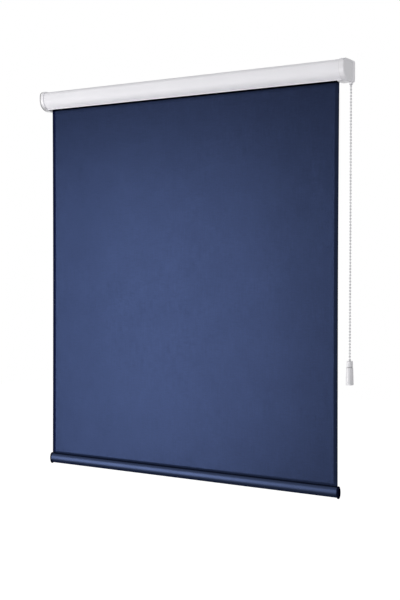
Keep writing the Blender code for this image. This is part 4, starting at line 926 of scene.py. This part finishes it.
class ROLLERBLIND_OT_cassette(bpy.types.Operator):
    """Finishes the cassette: the rail, the front cover, the end caps and the side plates"""

    bl_idname = "roller_blind.cassette"
    bl_label = "Cassette"

    def execute(self, context):
        sizes = context.scene.blind_cap
        plastic = moulded_cap(context.scene.blind_finishes.plastic, -float(LEFT_CAP_LOW[0]))
        smoothed_node("back_rail", "rail", "cassette", "coated_aluminium")
        smoothed_node("front_fascia", "front_cover", "cassette", "coated_aluminium")
        for side in ("left", "right"):
            names = (side + "_end_cap", side + "_cap", "cassette", "white_plastic")
            smoothed_node(*names, plastic, sharp=40.0, eased=sizes.edge)
            slot_web(side, sizes, plastic)
            smoothed_node(side + "_side_plate", side + "_plate", "cassette", "zinc_steel")
            smoothed_node(side + "_plate_screw", side + "_screw", "cassette", "zinc_steel")
        return {"FINISHED"}


class ROLLERBLIND_OT_clutch(bpy.types.Operator):
    """Finishes the clutch and the idle end inside the cassette"""

    bl_idname = "roller_blind.clutch"
    bl_label = "Clutch and Bearings"

    def execute(self, context):
        for node, name, body in (
            ("clutch_core", "clutch_post", "cassette"),
            ("idle_bush", "bush", "cassette"),
            ("chain_wheel", "bead_wheel", "chain_wheel"),
            ("drive_hub", "hub", "roller"),
            ("idle_plug", "plug", "roller"),
        ):
            smoothed_node(node, name, body, "bearing_plastic")
        smoothed_node("idle_pin", "pin", "idle_pin", "zinc_steel")
        for node in ("wrap_spring_inner", "wrap_spring_outer", "idle_spring"):
            wire = smoothed_node(node, node + "_wire", "roller", "zinc_steel", sharp=60.0)
        low, high = span("idle_spring")
        keep = 1.0 - PUSH / float(high[0] - low[0])
        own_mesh(wire)
        return {"FINISHED"}


class ROLLERBLIND_OT_roller(bpy.types.Operator):
    """Finishes the tube and its strip, and winds the cloth that stays on it"""

    bl_idname = "roller_blind.roller"
    bl_label = "Roller"

    def execute(self, context):
        smoothed_node("roller_tube", "tube", "roller", "mill_aluminium")
        smoothed_node("fabric_clamp_strip", "clamp_strip", "roller", "white_plastic")
        wind_cloth(context.scene.blind_cloth)
        return {"FINISHED"}


def cloth_layer(name, grid, laid_out, body, nodes, thickness):
    """A single layer of cloth from one open grid, with its layout in metres, given its thickness half
    on each side. The roll and the hanging sheet share one cloth."""
    scene = bpy.context.scene
    width = float(SHEET_HIGH[0] - SHEET_LOW[0])
    paint = woven_cloth(scene.blind_finishes.cloth, scene.blind_cloth, width, LIP_FOOT)
    faces = grid_faces(*grid.shape[:2])
    mesh = bpy.data.meshes.new(name)
    mesh.from_pydata(grid.reshape(-1, 3).tolist(), [], faces.tolist())
    layer = mesh.uv_layers.new(name="laid_out")
    layer.data.foreach_set("uv", laid_out.reshape(-1, 2)[faces.reshape(-1)].ravel())
    made = shown(name, mesh, paint, body, nodes, 60.0)
    return modified(made, "Thickness", "SOLIDIFY", thickness=thickness, offset=0.0, use_even_offset=True)


def wind_cloth(sizes):
    """A spiral about the roller's axis whose radius grows by a layer each turn, carried along X."""
    outside = float(ROLL_HIGH[2] - ROLL_LOW[2]) / 2
    half_layer = sizes.rolled_thickness / 2
    angle = np.linspace(0.0, 2 * math.pi * sizes.turns, int(sizes.turns * sizes.turn_steps))
    radius = np.linspace(outside - (ROLL_WALL - half_layer), outside - half_layer, len(angle))
    arc = np.concatenate(([0.0], np.cumsum(np.hypot(np.diff(radius), radius[1:] * np.diff(angle)))))
    x = np.linspace(ROLL_LOW[0], ROLL_HIGH[0], sizes.roll_columns)[:, None]
    grid = grid_of(x, AXIS_Y + radius * np.cos(angle), AXIS_Z + radius * np.sin(angle))
    laid_out = np.stack(np.broadcast_arrays(x, arc), axis=-1)
    return cloth_layer("wound_cloth", grid, laid_out, "roller", ["fabric_roll"], sizes.rolled_thickness)


def cloth_wave(x, z):
    """The hanging cloth's waves: a long one across it, sin(13 x + 0.8), and 0.6 times a shorter one that
    slants, sin(29 x + 4 z), divided by 1.6 to stay from -1 to 1."""
    return (np.sin(x * 13.0 + 0.8) + 0.6 * np.sin(x * 29.0 + z * 4.0)) / 1.6


class ROLLERBLIND_OT_cloth(bpy.types.Operator):
    """Makes the hanging cloth: a flat sheet with the faintest waves, which die out at its top and foot"""

    bl_idname = "roller_blind.cloth"
    bl_label = "Hanging Cloth"

    def execute(self, context):
        sizes = context.scene.blind_cloth
        columns = np.linspace(SHEET_LOW[0], SHEET_HIGH[0], sizes.columns)
        rows = np.linspace(SHEET_HIGH[2], SHEET_LOW[2], sizes.rows)
        x, z = np.meshgrid(columns, rows)
        width, _, length = (SHEET_HIGH - SHEET_LOW).tolist()
        held = np.sin(math.pi * (SHEET_HIGH[2] - z) / length)
        y = (SHEET_LOW[1] + SHEET_HIGH[1]) / 2 + sizes.bow * held * cloth_wave(x, z)
        from_middle = x - (SHEET_LOW[0] + SHEET_HIGH[0]) / 2
        grid = grid_of(x - from_middle * held * sizes.waist * 2 / width, y, z)
        laid_out = np.stack((from_middle, z), axis=-1)
        sheet = cloth_layer("hanging_cloth", grid, laid_out, "blind", ["fabric_sheet"], sizes.thickness)
        keep = (length - LIFT) / length
        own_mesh(sheet)
        return {"FINISHED"}


class ROLLERBLIND_OT_bottom_bar(bpy.types.Operator):
    """Makes the bottom bar with its two end caps and the hem's rod"""

    bl_idname = "roller_blind.bottom_bar"
    bl_label = "Bottom Bar"

    def execute(self, context):
        sizes = context.scene.blind_bar
        colours = context.scene.blind_finishes
        centre = (BAR_LOW + BAR_HIGH) / 2
        centre[2] = BAR_LOW[2] + sizes.height / 2
        outside = (sizes.height, (BAR_HIGH - BAR_LOW)[1])
        inside = tuple(size - 2 * sizes.wall for size in outside)
        curves = []
        for height, depth in (outside, inside):
            start = math.asin(sizes.slot / depth)
            curves.append(oval(height, depth, centre, start, 2 * math.pi - start, sizes.steps))
        outer, inner = curves
        low, high = BAR_LOW[0], BAR_HIGH[0]
        grids = [
            carried(np.vstack((outer, inner[::-1])), np.linspace(low, high, sizes.sections)),
            strip_end(outer, inner, low),
            strip_end(outer, inner, high),
        ]
        piece("bar", grids, navy_coating(colours.bar), "blind", ["bottom_bar"])
        for side, node in ((-1, "left_bar_cap"), (1, "right_bar_cap")):
            end_oval(node, side, centre, inside, sizes, cap_plastic(colours.bar_cap))
        smoothed_node("hem_rod", "hem_bar", "blind", "white_plastic")
        return {"FINISHED"}


def end_oval(node, side, centre, room, sizes, paint):
    """An end cap: ellipses one after another along X, from the tip of the plug inside the bar, out
    to the flange, over its rounded edge and in to the middle of its face."""
    low, high = span(node)
    size = (high - low)[[2, 1]]
    outer_x, tip_x = (high[0], low[0]) if side > 0 else (low[0], high[0])
    inner_x = (BAR_HIGH[0] if side > 0 else BAR_LOW[0]) + side * sizes.gap
    room = np.array(room) - 2 * sizes.gap
    plug = [(tip_x, 0.0, 0.0), (tip_x, *room), (inner_x, *room)]
    flange = [(inner_x, *(size - 2 * sizes.gap)), (inner_x + side * sizes.gap, *size)]
    angle = np.linspace(0.0, math.pi / 2, sizes.edge_steps)
    edge_x = outer_x - side * sizes.cap_round * (1 - np.sin(angle))
    inset = 2 * sizes.cap_round * (1 - np.cos(angle))
    edge = [(x, *(size - reach)) for x, reach in zip(edge_x, inset)]
    face = [(outer_x, *(size - 2 * sizes.cap_round) * share) for share in (0.6, 0.0)]
    grid = []
    for place, (x, ring_height, ring_depth) in enumerate(plug + flange + edge + face):
        ring = oval(ring_height, ring_depth, centre, 0.0, 2 * math.pi, sizes.steps)
        if place < len(plug):
            ring[:, 1] = np.minimum(ring[:, 1], BAR_HIGH[2] - sizes.hem_inside)
        grid.append(np.column_stack((np.full(len(ring), x), ring)))
    piece(node + "_moulding", [np.stack(grid)], paint, "blind", [node])


def seen_as_white(paint, share):
    """A share for rays that come straight from the eye, a mirror or a glass, and 0 for all others."""
    light_path = ("Is Camera Ray", "Is Glossy Ray", "Is Transmission Ray")
    rays = [paint.node("ShaderNodeLightPath", output=name) for name in light_path]
    return rays[0].maths("MAXIMUM", rays[1]).maths("MAXIMUM", rays[2]) * share


def pale_floor():
    """A pale floor that shows as white and keeps the shadow."""
    paint = new_material("Pale floor")
    lit = paint.node("ShaderNodeBsdfDiffuse", Color=(0.85, 0.85, 0.86))
    glow = paint.node("ShaderNodeEmission", Color=(1.0, 1.0, 1.0), Strength=FLOOR_GLOW)
    share = seen_as_white(paint, FLOOR_WHITE)
    return paint.ended(paint.node("ShaderNodeMixShader", {}, (share, lit, glow)))


def light_world(world, ambient):
    """An even pale light all round, which the eye and mirrors see as white."""
    paint = Paint(world)
    strength = ambient + seen_as_white(paint, 1.0 - ambient)
    light = paint.node("ShaderNodeBackground", Color=(1.0, 1.0, 1.0), Strength=strength)
    paint.ended(light, "ShaderNodeOutputWorld")


def lamp(name, place, width, height, power, colour=(1.0, 1.0, 1.0)):
    """A soft rectangular lamp that points at the middle of the blind."""
    light = bpy.data.lights.new(name, "AREA")
    light.shape = "RECTANGLE"
    light.size = width
    light.size_y = height
    light.energy = power
    light.color = colour
    made = placed(name, light)
    made.location = place
    sight = mathutils.Vector(LAMPS_AIM) - mathutils.Vector(place)
    made.rotation_euler = sight.to_track_quat("-Z", "Y").to_euler()


class ROLLERBLIND_OT_stage(bpy.types.Operator):
    """Makes the floor, the world, the lamps and the camera"""

    bl_idname = "roller_blind.stage"
    bl_label = "Stage"

    def execute(self, context):
        scene = context.scene
        settings = scene.blind_stage
        half = settings.floor_half
        corners = [(-half, -half), (half, -half), (half, half), (-half, half)]
        mesh = bpy.data.meshes.new("floor")
        mesh.from_pydata([(x, y, settings.floor_height) for x, y in corners], [], [(0, 1, 2, 3)])
        mesh.materials.append(pale_floor())
        floor = placed("floor", mesh)

        scene.world = bpy.data.worlds.new("Pale room")
        light_world(scene.world, settings.ambient)
        lamp("window_lamp", (-2.22, -2.64, -0.66), 1.1, 1.7, 66.0, (1.0, 0.99, 0.98))
        lamp("upper_lamp", (0.6, -2.2, 1.7), 1.8, 1.2, 12.0)
        lamp("side_lamp", (2.9, -0.6, 0.0), 1.0, 1.0, 17.0)
        lamp("rear_lamp", (-1.0, 2.2, 1.2), 1.8, 1.2, 18.0)

        camera = bpy.data.cameras.new("Camera")
        camera.lens = settings.lens
        camera.shift_y = settings.shift
        eye = placed("Camera", camera)
        eye.location = settings.place
        level = mathutils.Euler((math.pi / 2 - settings.pitch, 0.0, settings.azimuth)).to_matrix()
        eye.rotation_euler = (level @ mathutils.Matrix.Rotation(settings.roll, 3, "Z")).to_euler()
        scene.camera = eye
        scene.view_settings.view_transform = "Standard"
        return {"FINISHED"}


OPERATORS = (
    ROLLERBLIND_OT_weight,
    ROLLERBLIND_OT_chain,
    ROLLERBLIND_OT_cassette,
    ROLLERBLIND_OT_clutch,
    ROLLERBLIND_OT_roller,
    ROLLERBLIND_OT_bottom_bar,
    ROLLERBLIND_OT_cloth,
    ROLLERBLIND_OT_stage,
)

GROUPS = {
    "blind_chain": ChainSizes,
    "blind_weight": WeightSizes,
    "blind_cloth": ClothSizes,
    "blind_bar": BarSizes,
    "blind_cap": CapSizes,
    "blind_finishes": Finishes,
    "blind_stage": StageSettings,
}


class ROLLERBLIND_PT_panel(bpy.types.Panel):
    """Lists the pieces and their sizes"""

    bl_idname = "ROLLERBLIND_PT_panel"
    bl_label = "Roller Blind"
    bl_space_type = "VIEW_3D"
    bl_region_type = "UI"
    bl_category = "Roller Blind"

    def draw(self, context):
        for operator in OPERATORS:
            self.layout.operator(operator.bl_idname)
        for name, group in GROUPS.items():
            settings = getattr(context.scene, name)
            column = self.layout.column(heading=name.replace("_", " "))
            for key in group.__annotations__:
                column.prop(settings, key)


CLASSES = (*GROUPS.values(), *OPERATORS, ROLLERBLIND_PT_panel)


def register():
    for made in CLASSES:
        bpy.utils.register_class(made)
    for name, group in GROUPS.items():
        setattr(bpy.types.Scene, name, PointerProperty(type=group))


def unregister():
    for name in GROUPS:
        delattr(bpy.types.Scene, name)
    for made in reversed(CLASSES):
        bpy.utils.unregister_class(made)


def main():
    register()
    bpy.ops.roller_blind.weight()
    bpy.ops.roller_blind.chain()
    bpy.ops.roller_blind.cassette()
    bpy.ops.roller_blind.clutch()
    bpy.ops.roller_blind.roller()
    bpy.ops.roller_blind.bottom_bar()
    bpy.ops.roller_blind.cloth()
    bpy.ops.roller_blind.stage()


if __name__ == "__main__":
    main()
